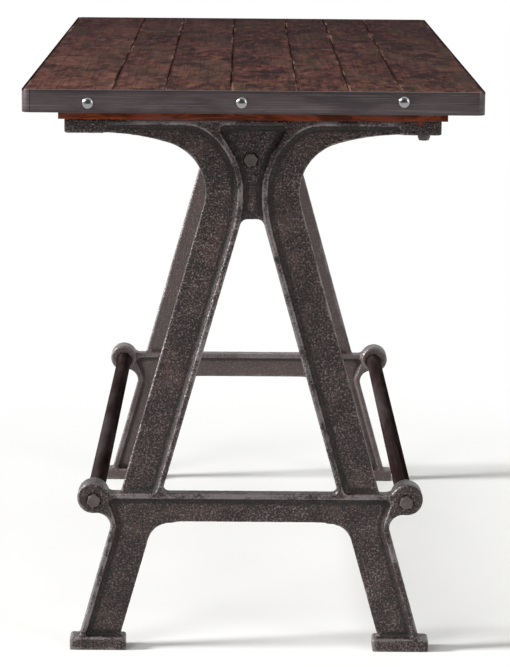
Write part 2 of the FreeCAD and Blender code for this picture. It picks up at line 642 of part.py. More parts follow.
def save(node, shapes):
    """Writes one node's solids to its own file."""
    solids = [solid for shape in shapes for solid in shape.Solids]
    for solid in solids:
        if not solid.isValid() or solid.Volume <= 0:
            raise ValueError(node + " holds a solid that isn't sound")
    Part.makeCompound(solids).exportStep("parts/" + node + ".step")


def main():
    os.makedirs("parts", exist_ok=True)
    frame = end_frame()
    save("front_end_frame", [to_front(frame)])
    save("rear_end_frame", [to_rear(frame)])

    rail_half_length = WEB_PLANE - SOCKET_FLOOR
    save("foot_rail_left", [round_bar(-RAIL_X, RAIL_Z, RAIL_DIAMETER, rail_half_length)])
    save("foot_rail_right", [round_bar(RAIL_X, RAIL_Z, RAIL_DIAMETER, rail_half_length)])
    save("neck_tie_rod", [round_bar(TIE_ROD_SHIFT, CASTING_TOP - TIE_ROD_DROP, TIE_ROD_DIAMETER,
                                    WEB_PLANE - HALF_WEB)])

    groups = {
        "foot_rail_bolts": rail_bolts(),
        "tie_rod_bolts": [tie_bolt()],
        "arm_washers": [washer()],
        "arm_bolts": [arm_bolt()],
        "ledge_screws": ledge_screws(),
        "cleat_screws": cleat_screws(),
    }
    for node, shapes in groups.items():
        save(node, [to_front(shape) for shape in shapes] + [to_rear(shape) for shape in shapes])
    save("front_cleat", [to_front(cleat())])
    save("rear_cleat", [to_rear(cleat())])

    for number, board in enumerate(planks(), start=1):
        save("plank_%d" % number, [board])
    front_right, rear_left = edge_bands()
    save("edge_band_front_right", [front_right])
    save("edge_band_rear_left", [rear_left])
    save("band_nails", [dome_nail(seat, direction) for seat, direction in nail_places()])


main()
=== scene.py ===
import math

import bmesh
import bpy
import numpy as np
from mathutils import Color, Matrix, Vector, noise


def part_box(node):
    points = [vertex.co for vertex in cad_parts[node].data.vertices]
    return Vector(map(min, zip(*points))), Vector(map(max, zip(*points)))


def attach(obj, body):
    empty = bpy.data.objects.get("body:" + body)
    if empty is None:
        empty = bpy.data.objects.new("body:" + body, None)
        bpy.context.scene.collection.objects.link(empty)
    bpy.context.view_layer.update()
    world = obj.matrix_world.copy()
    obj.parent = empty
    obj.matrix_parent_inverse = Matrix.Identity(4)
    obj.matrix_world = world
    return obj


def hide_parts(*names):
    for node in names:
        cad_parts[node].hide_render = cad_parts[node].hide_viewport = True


# Standing work table: two cast-iron end frames, foot rails and a banded plank top.
# Lengths are in metres, with the table standing on Z = 0 and its long side along Y.

bl_info = {
    "name": "Standing Work Table",
    "version": (1, 0, 0),
    "blender": (4, 5, 0),
    "location": "3D Viewport > Sidebar > Work Table",
    "description": "Builds the castings, rails, plank top, edge band, nails and bolts of a work table",
    "category": "Add Mesh",
}

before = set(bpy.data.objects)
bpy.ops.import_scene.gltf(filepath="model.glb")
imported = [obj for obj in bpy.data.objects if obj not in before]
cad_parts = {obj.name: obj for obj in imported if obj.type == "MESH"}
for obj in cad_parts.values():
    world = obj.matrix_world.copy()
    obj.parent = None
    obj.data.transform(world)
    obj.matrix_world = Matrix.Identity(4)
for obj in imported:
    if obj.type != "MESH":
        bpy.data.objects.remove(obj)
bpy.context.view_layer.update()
BODY = "root"
MERGE_DISTANCE = 0.00002
MM = 0.001

TOP_LOW = Vector(map(min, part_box("edge_band_front_right")[0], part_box("edge_band_rear_left")[0]))
TOP_HIGH = Vector(map(max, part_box("edge_band_front_right")[1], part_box("edge_band_rear_left")[1]))
PLANK_NODES = sorted(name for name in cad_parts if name.startswith("plank_"))


# ---------------------------------------------------------------- settings

def length_setting(name, description, default, low=0.0, high=10.0):
    """A length that the user may change."""
    return bpy.props.FloatProperty(name=name, description=description, default=default,
                                   min=low, max=high, precision=5, unit="LENGTH", subtype="DISTANCE")


def colour_setting(name, description, default):
    """A colour that the user may change."""
    return bpy.props.FloatVectorProperty(name=name, description=description, default=default,
                                         size=3, min=0.0, max=1.0, subtype="COLOR")


def number_setting(name, description, default, low=0.0, high=100.0):
    """A plain number that the user may change."""
    return bpy.props.FloatProperty(name=name, description=description, default=default, min=low, max=high)


def angle_setting(name, description, degrees):
    """An angle that the user may change."""
    return bpy.props.FloatProperty(name=name, description=description, default=math.radians(degrees),
                                   unit="ROTATION", subtype="ANGLE", precision=4)


class WorkTableIron(bpy.types.PropertyGroup):
    """Sizes and colours of the castings and the rails"""
    skin_step: length_setting("Skin Step", "Grid size of the castings' rebuilt skin", 2.6 * MM, 0.001, 0.02)
    skin_growth: length_setting("Skin Growth", "Gives back what the easing takes from the skin", 0.25 * MM)
    skin_softening: bpy.props.IntProperty(
        name="Softening", description="How often the castings' edges are eased", default=1, min=0, max=10)
    # Painted light: how much paler the rear casting is painted, standing in for the extra light that falls on
    # it.
    rear_painted_light: number_setting("Rear Painted Light", "How pale the rear casting's paint has become", 0.85, 0.0, 1.0)
    dimple_depth: length_setting("Dimple Depth", "Depth of the uneven cast skin", 0.22 * MM, 0.0, 0.001)
    dimple_width: length_setting("Dimple Width", "Width of the larger dimples", 8.0 * MM, 0.002, 0.05)
    pebble_width: length_setting("Pebble Width", "Width of the skin's fine pebbles", 3.1 * MM, 0.001, 0.02)
    dark: colour_setting("Dark Paint", "Colour of the low places", (0.018, 0.010, 0.010))
    paint: colour_setting("Paint", "Main colour of the castings", (0.036, 0.021, 0.021))
    # Also the colour of the painted highlights on the crests and of the painted glints.
    crest_wear_and_highlight: colour_setting("Worn Crest and Highlight", "Colour where the edges are rubbed bare", (0.180, 0.157, 0.163))
    # Also the colour towards which painted light pales the rear casting.
    grit_and_rear_light: colour_setting("Grit and Rear Light", "Colour of the high grains of the skin", (0.150, 0.112, 0.109))
    # Also the colour of the painted shade in the inside corners.
    soot_and_corner_shade: colour_setting("Soot and Corner Shade", "Colour of the pits and the inside corners", (0.006, 0.0035, 0.003))
    rust: colour_setting("Rust", "Colour of the warm brown patches", (0.078, 0.038, 0.027))
    bar: colour_setting("Bar Steel", "Main colour of the foot rails", (0.056, 0.044, 0.045))


class WorkTableWood(bpy.types.PropertyGroup):
    """Sizes and colours of the planks and the cleats"""
    corner_radius: length_setting("Corner Radius", "Rounding of the planks' corners", 11.0 * MM)
    station_step: length_setting("Station Step", "Distance between the cross sections of a plank", 8.0 * MM)
    edge_rounding: length_setting("Edge Rounding", "Least rounding of a plank's long edges", 0.7 * MM)
    chip_depth: length_setting("Chip Depth", "How far splinters have left the edges", 1.5 * MM)
    top_wave: length_setting("Top Wave", "Depth of the hollows worn in the top", 0.45 * MM)
    bevel: length_setting("Cleat Bevel", "Rounding of the cleats' edges", 1.2 * MM)
    splinter_x: length_setting("Splinter Place", "X of the front cleat's splinter", 283.0 * MM, -1.0, 1.0)
    splinter_drop: length_setting("Splinter Drop", "How far the splinter hangs down", 9.0 * MM)
    # Also the colour of the painted shade towards the back of the top.
    stain_and_far_shade: colour_setting("Dark Stain and Far Shade", "Bluish dark streaks", (0.030, 0.022, 0.024))
    umber: colour_setting("Umber", "Dark red-brown ground", (0.070, 0.036, 0.032))
    russet: colour_setting("Russet", "Main red-brown", (0.122, 0.052, 0.045))
    worn: colour_setting("Worn Brown", "Paler red-brown", (0.170, 0.084, 0.068))
    ash: colour_setting("Ash Brown", "Olive brown patches", (0.088, 0.060, 0.046))
    tan: colour_setting("Tan", "Rubbed, orange places", (0.175, 0.085, 0.055))
    raw: colour_setting("Raw Wood", "Splintered edges", (0.250, 0.140, 0.110))
    gap: colour_setting("Seam Dirt", "Dirt along the planks' edges", (0.026, 0.014, 0.012))
    cleat: colour_setting("Cleat Wood", "Orange-red of the cleats", (0.235, 0.046, 0.014))
    dirt: colour_setting("Cleat Dirt", "Dark, dirty places of the cleats", (0.046, 0.015, 0.010))


class WorkTableSteel(bpy.types.PropertyGroup):
    """Sizes and colours of the band, nails, bolts and washers"""
    band_thickness: length_setting("Band Thickness", "Thickness of the edge band", 3.0 * MM)
    band_corner: length_setting("Band Corner", "Outside radius of the band's corners", 14.0 * MM)
    band_seam: length_setting("Band Seam", "Open seam where the two strips meet", 0.6 * MM)
    band_rounding: length_setting("Band Rounding", "Rounding along the band's edges", 0.7 * MM)
    nail_skirt: length_setting("Nail Skirt", "How far a nail's head sinks into the band", 0.8 * MM)
    nail_shank: length_setting("Nail Shank", "Radius of a nail's shank", 2.0 * MM)
    large_flats: length_setting("Large Flats", "Across the flats of the rail and tie rod bolts", 21.0 * MM)
    large_head: length_setting("Large Head", "Height of the rail and tie rod bolts' heads", 9.0 * MM)
    large_shank: length_setting("Large Shank", "Diameter of the rail and tie rod bolts", 14.0 * MM)
    arm_flats: length_setting("Arm Flats", "Across the flats of the arm bolts", 16.0 * MM)
    arm_head: length_setting("Arm Head", "Height of the arm bolts' heads", 6.5 * MM)
    arm_shank: length_setting("Arm Shank", "Diameter of the arm bolts", 10.0 * MM)
    ledge_flats: length_setting("Ledge Flats", "Across the flats of the ledge screws", 10.0 * MM)
    ledge_head: length_setting("Ledge Head", "Height of the ledge screws' heads", 4.0 * MM)
    ledge_shank: length_setting("Ledge Shank", "Diameter of the ledge screws", 6.0 * MM)
    screw_head: length_setting("Screw Head", "Radius of the cleat screws' heads", 5.0 * MM)
    screw_shank: length_setting("Screw Shank", "Radius of the cleat screws' shanks", 2.5 * MM)
    band: colour_setting("Band Steel", "Dark brushed steel of the band", (0.096, 0.074, 0.077))
    # Also the colour of the painted highlight along the band's top edge.
    scratch_and_lip_highlight: colour_setting("Scratch and Lip Highlight", "Bright scratches in the band", (0.260, 0.235, 0.235))
    tarnish: colour_setting("Band Tarnish", "Darker, bluish patches of the band", (0.056, 0.045, 0.050))
    rim: colour_setting("Band Rim", "Dirt along the band's upper and lower edges", (0.040, 0.028, 0.028))
    # Painted shade on the band's upper edges at the sides.
    side_edge_shade: colour_setting("Band Side Shade", "Dirt on the band's upper edges at the sides", (0.014, 0.010, 0.010))
    bolt: colour_setting("Bolt Steel", "Dark steel of the bolts", (0.095, 0.078, 0.074))
    shade: colour_setting("Bolt Shade", "Darker patches of the bolts", (0.030, 0.024, 0.022))
    nail: colour_setting("Nail Steel", "Polished steel of the nails", (0.330, 0.325, 0.335))


class WorkTableStudio(bpy.types.PropertyGroup):
    """The camera, the lights and the floor"""
    camera_side: length_setting("Camera Side", "Camera's X", -0.0176, -5.0, 5.0)
    camera_distance: length_setting("Camera Distance", "Camera's distance from the table's middle", 5.1103)
    camera_height: length_setting("Camera Height", "Camera's height above the floor", 1.4583)
    camera_pitch: angle_setting("Camera Pitch", "How far the camera looks down", 11.2013)
    camera_yaw: angle_setting("Camera Yaw", "How far the camera turns to the right", 0.3037)
    camera_roll: angle_setting("Camera Roll", "How far the camera leans", 0.4756)
    camera_lens: bpy.props.FloatProperty(
        name="Lens", description="Focal length", default=143.52, min=10.0, max=500.0, unit="CAMERA")
    floor_radius: length_setting("Floor Radius", "Radius of the floor", 6.0)
    fade_start: length_setting("Fade Start", "Where the floor starts to fade to white", 0.72)
    fade_end: length_setting("Fade End", "Where the floor is plain white", 1.7)
    floor: colour_setting("Floor", "Colour of the floor", (0.94, 0.94, 0.925))
    ambient: number_setting("Ambient", "Strength of the world's light", 0.34, 0.0, 2.0)
    room: number_setting("Room", "Brightness of the side behind the camera, as mirrored", 0.12, 0.0, 1.0)
    window: number_setting("Window", "Strength of the broad light from the left", 5.0, 0.0, 20.0)
    window_spread: angle_setting("Window Spread", "How broad the light from the left looks", 12.0)
    key: number_setting("Key", "Power of the lamp at the left front, in watts", 62.0, 0.0, 2000.0)
    fill: number_setting("Fill", "Power of the lamp at the right front, in watts", 30.0, 0.0, 2000.0)


# ---------------------------------------------------------------- node helpers

NOISE_LOW, NOISE_HIGH = 0.3, 0.7  # soft noise mostly lies between these


def add_node(tree, kind, inputs=None, **settings):
    """Adds a node, gives it its settings, and sets or links each of its inputs."""
    made = tree.nodes.new(kind)
    for name, value in settings.items():
        setattr(made, name, value)
    for key, value in (inputs or {}).items():
        feed(tree, value, made.inputs[key])
    return made


def result(tree, kind, inputs=None, **settings):
    """Adds a node in the same way and returns its first output."""
    return add_node(tree, kind, inputs, **settings).outputs[0]


def feed(tree, value, socket):
    """Links a node's output to a socket, or sets the socket's own value."""
    if isinstance(value, bpy.types.NodeSocket):
        tree.links.new(value, socket)
    elif socket.type == "RGBA" and isinstance(value, (tuple, Color)):
        socket.default_value = (*value, 1.0)
    else:
        socket.default_value = value


def reckon(tree, operation, first, second):
    """Arithmetic on two numbers."""
    return result(tree, "ShaderNodeMath", {0: first, 1: second}, operation=operation)


def scaled(tree, value, factor):
    """Product of two numbers."""
    return reckon(tree, "MULTIPLY", value, factor)


def fitted(tree, value, low, high, to_low, to_high):
    """Brings a span of values smoothly onto another span, and holds them to it."""
    inputs = {0: value, 1: low, 2: high, 3: to_low, 4: to_high}
    return result(tree, "ShaderNodeMapRange", inputs, interpolation_type="SMOOTHSTEP")


class Finish:
    """One procedural material in the making: each method adds nodes and returns their last output."""

    def __init__(self, name):
        self.material = bpy.data.materials.new(name)
        self.material.use_nodes = True
        self.tree = self.material.node_tree
        self.shader = self.tree.nodes["Principled BSDF"]
        self.place = self.tree.nodes.new("ShaderNodeTexCoord").outputs["Object"]

    def noise(self, scale, detail, roughness=0.55, distortion=0.0, vector=None):
        """Soft noise, from 0 to 1."""
        inputs = {"Vector": vector or self.place, "Scale": scale, "Detail": detail,
                  "Roughness": roughness, "Distortion": distortion}
        return result(self.tree, "ShaderNodeTexNoise", inputs)

    def stretched(self, scales, detail, roughness=0.55, distortion=0.0, vector=None):
        """Soft noise with its own scale along each axis."""
        inputs = {"Vector": vector or self.place, "Scale": scales}
        drawn_out = result(self.tree, "ShaderNodeMapping", inputs)
        return self.noise(1.0, detail, roughness, distortion, drawn_out)

    def cells(self, scale):
        """Distance to the nearest of scattered points, with the cells run together softly."""
        inputs = {"Vector": self.place, "Scale": scale}
        return add_node(self.tree, "ShaderNodeTexVoronoi", inputs, feature="SMOOTH_F1").outputs["Distance"]

    def attribute(self, name):
        """A number kept on the piece's points."""
        return add_node(self.tree, "ShaderNodeAttribute", attribute_name=name).outputs["Fac"]

    def axis(self, name):
        """One coordinate of the place."""
        return add_node(self.tree, "ShaderNodeSeparateXYZ", {0: self.place}).outputs[name]

    def fit(self, value, low, high, to_low=0.0, to_high=1.0):
        """Brings a span of values smoothly onto another span."""
        return fitted(self.tree, value, low, high, to_low, to_high)

    def spread(self, value, to_low, to_high):
        """Brings the span in which soft noise mostly lies onto another span."""
        return self.fit(value, NOISE_LOW, NOISE_HIGH, to_low, to_high)

    def sum(self, first, second):
        """Sum of two numbers."""
        return reckon(self.tree, "ADD", first, second)

    def times(self, first, second):
        """Product of two numbers."""
        return scaled(self.tree, first, second)

    def total(self, *parts):
        """Weighted sum; each part is a value and its weight."""
        whole, *others = [self.times(value, weight) for value, weight in parts]
        for other in others:
            whole = self.sum(whole, other)
        return whole

    def apart(self, number, steps):
        """The place moved by a number times a step along each axis."""
        move = result(self.tree, "ShaderNodeCombineXYZ", {k: self.times(number, steps[k]) for k in range(3)})
        return result(self.tree, "ShaderNodeVectorMath", {0: self.place, 1: move}, operation="ADD")

    def blend(self, factor, first, second):
        """Mix of two colours."""
        inputs = {0: factor, 6: first, 7: second}
        return add_node(self.tree, "ShaderNodeMix", inputs, data_type="RGBA").outputs[2]

    def marked(self, colour, *marks):
        """Lays marks over a colour: each is a value, the span in which it grows, its most and its colour."""
        for value, low, high, most, other in marks:
            colour = self.blend(self.fit(value, low, high, 0.0, most), colour, other)
        return colour

    def ramp(self, value, *stops):
        """Colours along a value; each stop is its place and its colour."""
        made = add_node(self.tree, "ShaderNodeValToRGB", {0: value})
        elements = made.color_ramp.elements
        while len(elements) < len(stops):
            elements.new(0.5)
        for element, (place, colour) in zip(elements, stops):
            element.position = place
            element.color = (*colour, 1.0)
        return made.outputs["Color"]

    def bump(self, height, depth, strength):
        """A normal raised by a height from 0 to 1; depth is in metres."""
        inputs = {"Height": height, "Distance": depth, "Strength": strength}
        return result(self.tree, "ShaderNodeBump", inputs)

    def done(self, **sockets):
        """Feeds the shader's sockets, named as in SHADER_SOCKETS, and returns the material."""
        for name, value in sockets.items():
            feed(self.tree, value, self.shader.inputs[SHADER_SOCKETS[name]])
        return self.material


SHADER_SOCKETS = {
    "colour": "Base Color",
    "metal": "Metallic",
    "roughness": "Roughness",
    "specular": "Specular IOR Level",
    "normal": "Normal",
}


# ---------------------------------------------------------------- shape trees

CROWN_SHARE = 0.46  # radius of the flat face on a bolt's head, as a share of its flats
PRISM_SHARE = 1.2  # height of a head before its crown is cut, as a share of the head's height
CROWN_SLOPE = 1.7  # how fast a crown widens downwards
CROWN_DROP = -1.0 / 6.0  # leaves the crown's top one head height above the seat
BOLT_SHANK_DROP = -0.4999  # sinks a bolt's shank until its top only just reaches into the head
NAIL_SHANK_DROP = -0.5
CROWN_SIDES, BOLT_SHANK_SIDES, NAIL_SHANK_SIDES = 48, 24, 12
DOME_SEGMENTS, DOME_RINGS = 32, 18
WASHER_SIDES = 48
CORNER_STEPS, BEND_STEPS = 3, 10


def new_shape_tree(name, sizes):
    """A Geometry Nodes tree with a named input for each size, and for the material that ends it."""
    tree = bpy.data.node_groups.new(name, "GeometryNodeTree")
    tree.interface.new_socket("Geometry", in_out="INPUT", socket_type="NodeSocketGeometry")
    for size in sizes:
        tree.interface.new_socket(size, in_out="INPUT", socket_type="NodeSocketFloat")
    tree.interface.new_socket("Material", in_out="INPUT", socket_type="NodeSocketMaterial")
    tree.interface.new_socket("Geometry", in_out="OUTPUT", socket_type="NodeSocketGeometry")
    return tree, tree.nodes.new("NodeGroupInput").outputs


def finish_shape_tree(tree, geometry, material):
    """Ends a tree in Realize Instances and Set Material."""
    real = result(tree, "GeometryNodeRealizeInstances", {"Geometry": geometry})
    painted = result(tree, "GeometryNodeSetMaterial", {"Geometry": real, "Material": material})
    feed(tree, painted, tree.nodes.new("NodeGroupOutput").inputs["Geometry"])
    return tree


def lifted(tree, geometry, height):
    """Geometry moved along its own axis."""
    offset = result(tree, "ShaderNodeCombineXYZ", {2: height})
    return result(tree, "GeometryNodeTransform", {"Geometry": geometry, "Translation": offset})


def joined(tree, *geometries):
    """Several geometries as one."""
    join = tree.nodes.new("GeometryNodeJoinGeometry")
    for geometry in geometries:
        tree.links.new(geometry, join.inputs[0])
    return join.outputs[0]


def set_on_seats(tree, points, fastener):
    """Copies a fastener onto each seat, facing the way that the seat says."""
    facing = result(tree, "GeometryNodeInputNamedAttribute", {"Name": "facing"}, data_type="FLOAT_VECTOR")
    turn = result(tree, "GeometryNodeInputNamedAttribute", {"Name": "turn"}, data_type="FLOAT")
    spin = result(tree, "FunctionNodeAxisAngleToRotation", {"Axis": (0.0, 0.0, 1.0), "Angle": turn})
    aim = result(tree, "FunctionNodeAlignRotationToVector", {"Vector": facing}, axis="Z")
    both = result(tree, "FunctionNodeRotateRotation", {"Rotation": aim, "Rotate By": spin},
                  rotation_space="LOCAL")
    return result(tree, "GeometryNodeInstanceOnPoints",
                  {"Points": points, "Instance": fastener, "Rotation": both})


def sunk_shank(tree, given, sides, drop):
    """A fastener's shank, below its seat."""
    inputs = {"Vertices": sides, "Radius": given["Shank Radius"], "Depth": given["Shank Length"]}
    shank = result(tree, "GeometryNodeMeshCylinder", inputs)
    return lifted(tree, shank, scaled(tree, given["Shank Length"], drop))


def hex_bolt_tree():
    """Hexagon bolts with turned crowns on their heads, one on each seat."""
    sizes = ("Flats", "Head Height", "Shank Radius", "Shank Length")
    tree, given = new_shape_tree("hex_bolts", sizes)
    corner = reckon(tree, "DIVIDE", given["Flats"], math.sqrt(3))
    face = scaled(tree, given["Flats"], CROWN_SHARE)
    tall = scaled(tree, given["Head Height"], PRISM_SHARE)
    wide = reckon(tree, "ADD", face, scaled(tree, tall, CROWN_SLOPE))
    prism = result(tree, "GeometryNodeMeshCylinder", {"Vertices": 6, "Radius": corner, "Depth": tall})
    crown = result(tree, "GeometryNodeMeshCone",
                   {"Vertices": CROWN_SIDES, "Radius Top": face, "Radius Bottom": wide, "Depth": tall})
    head = add_node(tree, "GeometryNodeMeshBoolean", operation="INTERSECT", solver="EXACT")
    tree.links.new(lifted(tree, prism, scaled(tree, tall, 0.5)), head.inputs[1])
    tree.links.new(lifted(tree, crown, scaled(tree, tall, CROWN_DROP)), head.inputs[1])
    bolt = joined(tree, head.outputs[0], sunk_shank(tree, given, BOLT_SHANK_SIDES, BOLT_SHANK_DROP))
    return finish_shape_tree(tree, set_on_seats(tree, given["Geometry"], bolt), given["Material"])


def dome_nail_tree():
    """Domed nails or round-headed screws, one on each seat."""
    sizes = ("Head Radius", "Head Height", "Skirt", "Shank Radius", "Shank Length")
    tree, given = new_shape_tree("dome_nails", sizes)
    ball = result(tree, "GeometryNodeMeshUVSphere",
                  {"Segments": DOME_SEGMENTS, "Rings": DOME_RINGS, "Radius": 1.0})
    x, y, z = add_node(tree, "ShaderNodeSeparateXYZ", {0: result(tree, "GeometryNodeInputPosition")}).outputs
    above = scaled(tree, reckon(tree, "MAXIMUM", z, 0.0), given["Head Height"])
    below = scaled(tree, reckon(tree, "MINIMUM", z, 0.0), given["Skirt"])
    moved = result(tree, "ShaderNodeCombineXYZ", {
        0: scaled(tree, x, given["Head Radius"]),
        1: scaled(tree, y, given["Head Radius"]),
        2: reckon(tree, "ADD", above, below),
    })
    dome = result(tree, "GeometryNodeSetPosition", {"Geometry": ball, "Position": moved})
    smooth = result(tree, "GeometryNodeSetShadeSmooth", {"Geometry": dome})
    nail = joined(tree, smooth, sunk_shank(tree, given, NAIL_SHANK_SIDES, NAIL_SHANK_DROP))
    return finish_shape_tree(tree, set_on_seats(tree, given["Geometry"], nail), given["Material"])


def washer_tree():
    """Flat washers with eased edges, one on each seat."""
    sizes = ("Hole Radius", "Rim Radius", "Thickness", "Edge Rounding")
    tree, given = new_shape_tree("washers", sizes)
    middle = scaled(tree, reckon(tree, "ADD", given["Hole Radius"], given["Rim Radius"]), 0.5)
    width = reckon(tree, "SUBTRACT", given["Rim Radius"], given["Hole Radius"])
    path = result(tree, "GeometryNodeCurvePrimitiveCircle",
                  {"Resolution": WASHER_SIDES, "Radius": middle}, mode="RADIUS")
    section = rounded_section(tree, given["Thickness"], width, given["Edge Rounding"])
    ring = result(tree, "GeometryNodeCurveToMesh", {"Curve": path, "Profile Curve": section})
    raised = lifted(tree, ring, scaled(tree, given["Thickness"], 0.5))
    return finish_shape_tree(tree, set_on_seats(tree, given["Geometry"], raised), given["Material"])


def rounded_corners(tree, curve, count, radius):
    """A cornered curve with its corners bent round."""
    inputs = {"Curve": curve, "Count": count, "Radius": radius, "Limit Radius": True}
    return result(tree, "GeometryNodeFilletCurve", inputs, mode="POLY")


def rounded_section(tree, width, height, rounding):
    """A rectangle with eased corners, for sweeping."""
    box = result(tree, "GeometryNodeCurvePrimitiveQuadrilateral", {"Width": width, "Height": height})
    return rounded_corners(tree, box, CORNER_STEPS, rounding)


def edge_band_tree():
    """A flat strip on edge that follows a cornered path, with its corners bent round."""
    sizes = ("Thickness", "Depth", "Bend Radius", "Edge Rounding")
    tree, given = new_shape_tree("edge_band", sizes)
    path = result(tree, "GeometryNodeMeshToCurve", {"Mesh": given["Geometry"]})
    bent = rounded_corners(tree, path, BEND_STEPS, given["Bend Radius"])
    upright = result(tree, "GeometryNodeSetCurveNormal", {"Curve": bent}, mode="Z_UP")
    section = rounded_section(tree, given["Thickness"], given["Depth"], given["Edge Rounding"])
    strip = result(tree, "GeometryNodeCurveToMesh",
                   {"Curve": upright, "Profile Curve": section, "Fill Caps": True})
    return finish_shape_tree(tree, strip, given["Material"])


def baked(piece):
    """The mesh that a piece has once its modifiers have run."""
    graph = bpy.context.evaluated_depsgraph_get()
    return bpy.data.meshes.new_from_object(piece.evaluated_get(graph), depsgraph=graph)


def grown(name, base, tree, sizes, material):
    """Runs a shape tree over a base mesh and returns the result as a plain piece at the origin."""
    carrier = new_piece(name + "_base", base)
    modifier = carrier.modifiers.new("shape", "NODES")
    modifier.node_group = tree
    values = dict(sizes, Material=material)
    for item in tree.interface.items_tree:
        if item.in_out == "INPUT" and item.name in values:
            modifier[item.identifier] = values[item.name]
    mesh = baked(carrier)
    carrier.modifiers.remove(modifier)
    bpy.data.objects.remove(carrier)
    if not len(mesh.polygons):
        raise RuntimeError(name + " came out empty")
    return new_piece(name, mesh)


# ---------------------------------------------------------------- mesh helpers

def placed(name, data):
    """An object at the origin that holds a mesh, a lamp or a camera."""
    holder = bpy.data.objects.new(name, data)
    bpy.context.scene.collection.objects.link(holder)
    return holder


def new_piece(name, mesh):
    """An object at the origin that holds a mesh of the same name."""
    mesh.name = name
    return placed(name, mesh)


def kept_mesh(name, work):
    """The mesh that comes out of finished bmesh work."""
    mesh = bpy.data.meshes.new(name)
    work.to_mesh(mesh)
    work.free()
    return mesh


def hand_over(piece, slot_name, *nodes):
    """Puts a finished piece on the frame in place of its CAD nodes."""
    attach(piece, BODY)
    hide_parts(*nodes)


def paint(piece, material):
    """Gives a piece its one material."""
    piece.data.materials.clear()
    piece.data.materials.append(material)


def merged_copy(node):
    """A CAD node's mesh with its loose triangles joined."""
    work = bmesh.new()
    work.from_mesh(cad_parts[node].data)
    bmesh.ops.remove_doubles(work, verts=work.verts, dist=MERGE_DISTANCE)
    return work


def solid_boxes(node):
    """Lowest and highest corner of each separate solid of a CAD node, in order of place."""
    work = merged_copy(node)
    work.verts.index_update()
    seen = [False] * len(work.verts)
    boxes = []
    for start in work.verts:
        if seen[start.index]:
            continue
        seen[start.index] = True
        waiting, found = [start], []
        while waiting:
            vertex = waiting.pop()
            found.append(vertex.co.copy())
            for edge in vertex.link_edges:
                other = edge.other_vert(vertex)
                if not seen[other.index]:
                    seen[other.index] = True
                    waiting.append(other)
        boxes.append((Vector(map(min, *found)), Vector(map(max, *found))))
    work.free()
    return sorted(boxes, key=lambda box: tuple(round(value, 4) for value in (*box[0], *box[1])))


def seats_mesh(name, seats):
    """Bare points for fasteners; each seat is its place, the way it faces and its turn."""
    mesh = bpy.data.meshes.new(name)
    mesh.from_pydata([place for place, _, _ in seats], [], [])
    directions = np.array([direction for _, direction, _ in seats], np.float32)
    mesh.attributes.new("facing", "FLOAT_VECTOR", "POINT").data.foreach_set("vector", directions.ravel())
    keep_number(mesh, "turn", [angle for _, _, angle in seats])
    return mesh


def swept_mesh(name, rings):
    """A closed solid through rings of points, capped at both ends, with its faces outwards."""
    work = bmesh.new()
    rows = [[work.verts.new(point) for point in ring] for ring in rings]
    for row, following in zip(rows, rows[1:]):
        for k in range(len(row)):
            after = (k + 1) % len(row)
            work.faces.new((row[k], row[after], following[after], following[k]))
    work.faces.new(rows[0])
    work.faces.new(rows[-1])
    bmesh.ops.recalc_face_normals(work, faces=work.faces)
    return kept_mesh(name, work)


def keep_number(mesh, name, values):
    """Stores one number for each point of a mesh."""
    mesh.attributes.new(name, "FLOAT", "POINT").data.foreach_set("value", np.asarray(values, np.float32))


def smooth_by_angle(piece, degrees):
    """Shades a piece smooth, with its sharper edges kept."""
    piece.data.shade_smooth()
    piece.data.set_sharp_from_angle(angle=math.radians(degrees))


def steps(low, high, step):
    """Evenly spaced values from low to high, about a step apart."""
    count = max(1, round((high - low) / step))
    return [low + (high - low) * k / count for k in range(count + 1)]


# ---------------------------------------------------------------- finishes
# Noise scales are waves per metre.

BOARD_STEPS = (3.1, 7.7, 1.3)  # moves each plank's pattern away from its neighbours'
FAR_SHADE_FROM, FAR_SHADE_TO = -0.55, 0.70  # Y between which painted shade darkens the planks towards the back
PALE_FROM, PALE_TO = -0.45, -0.765  # Y between which they grow paler towards the front


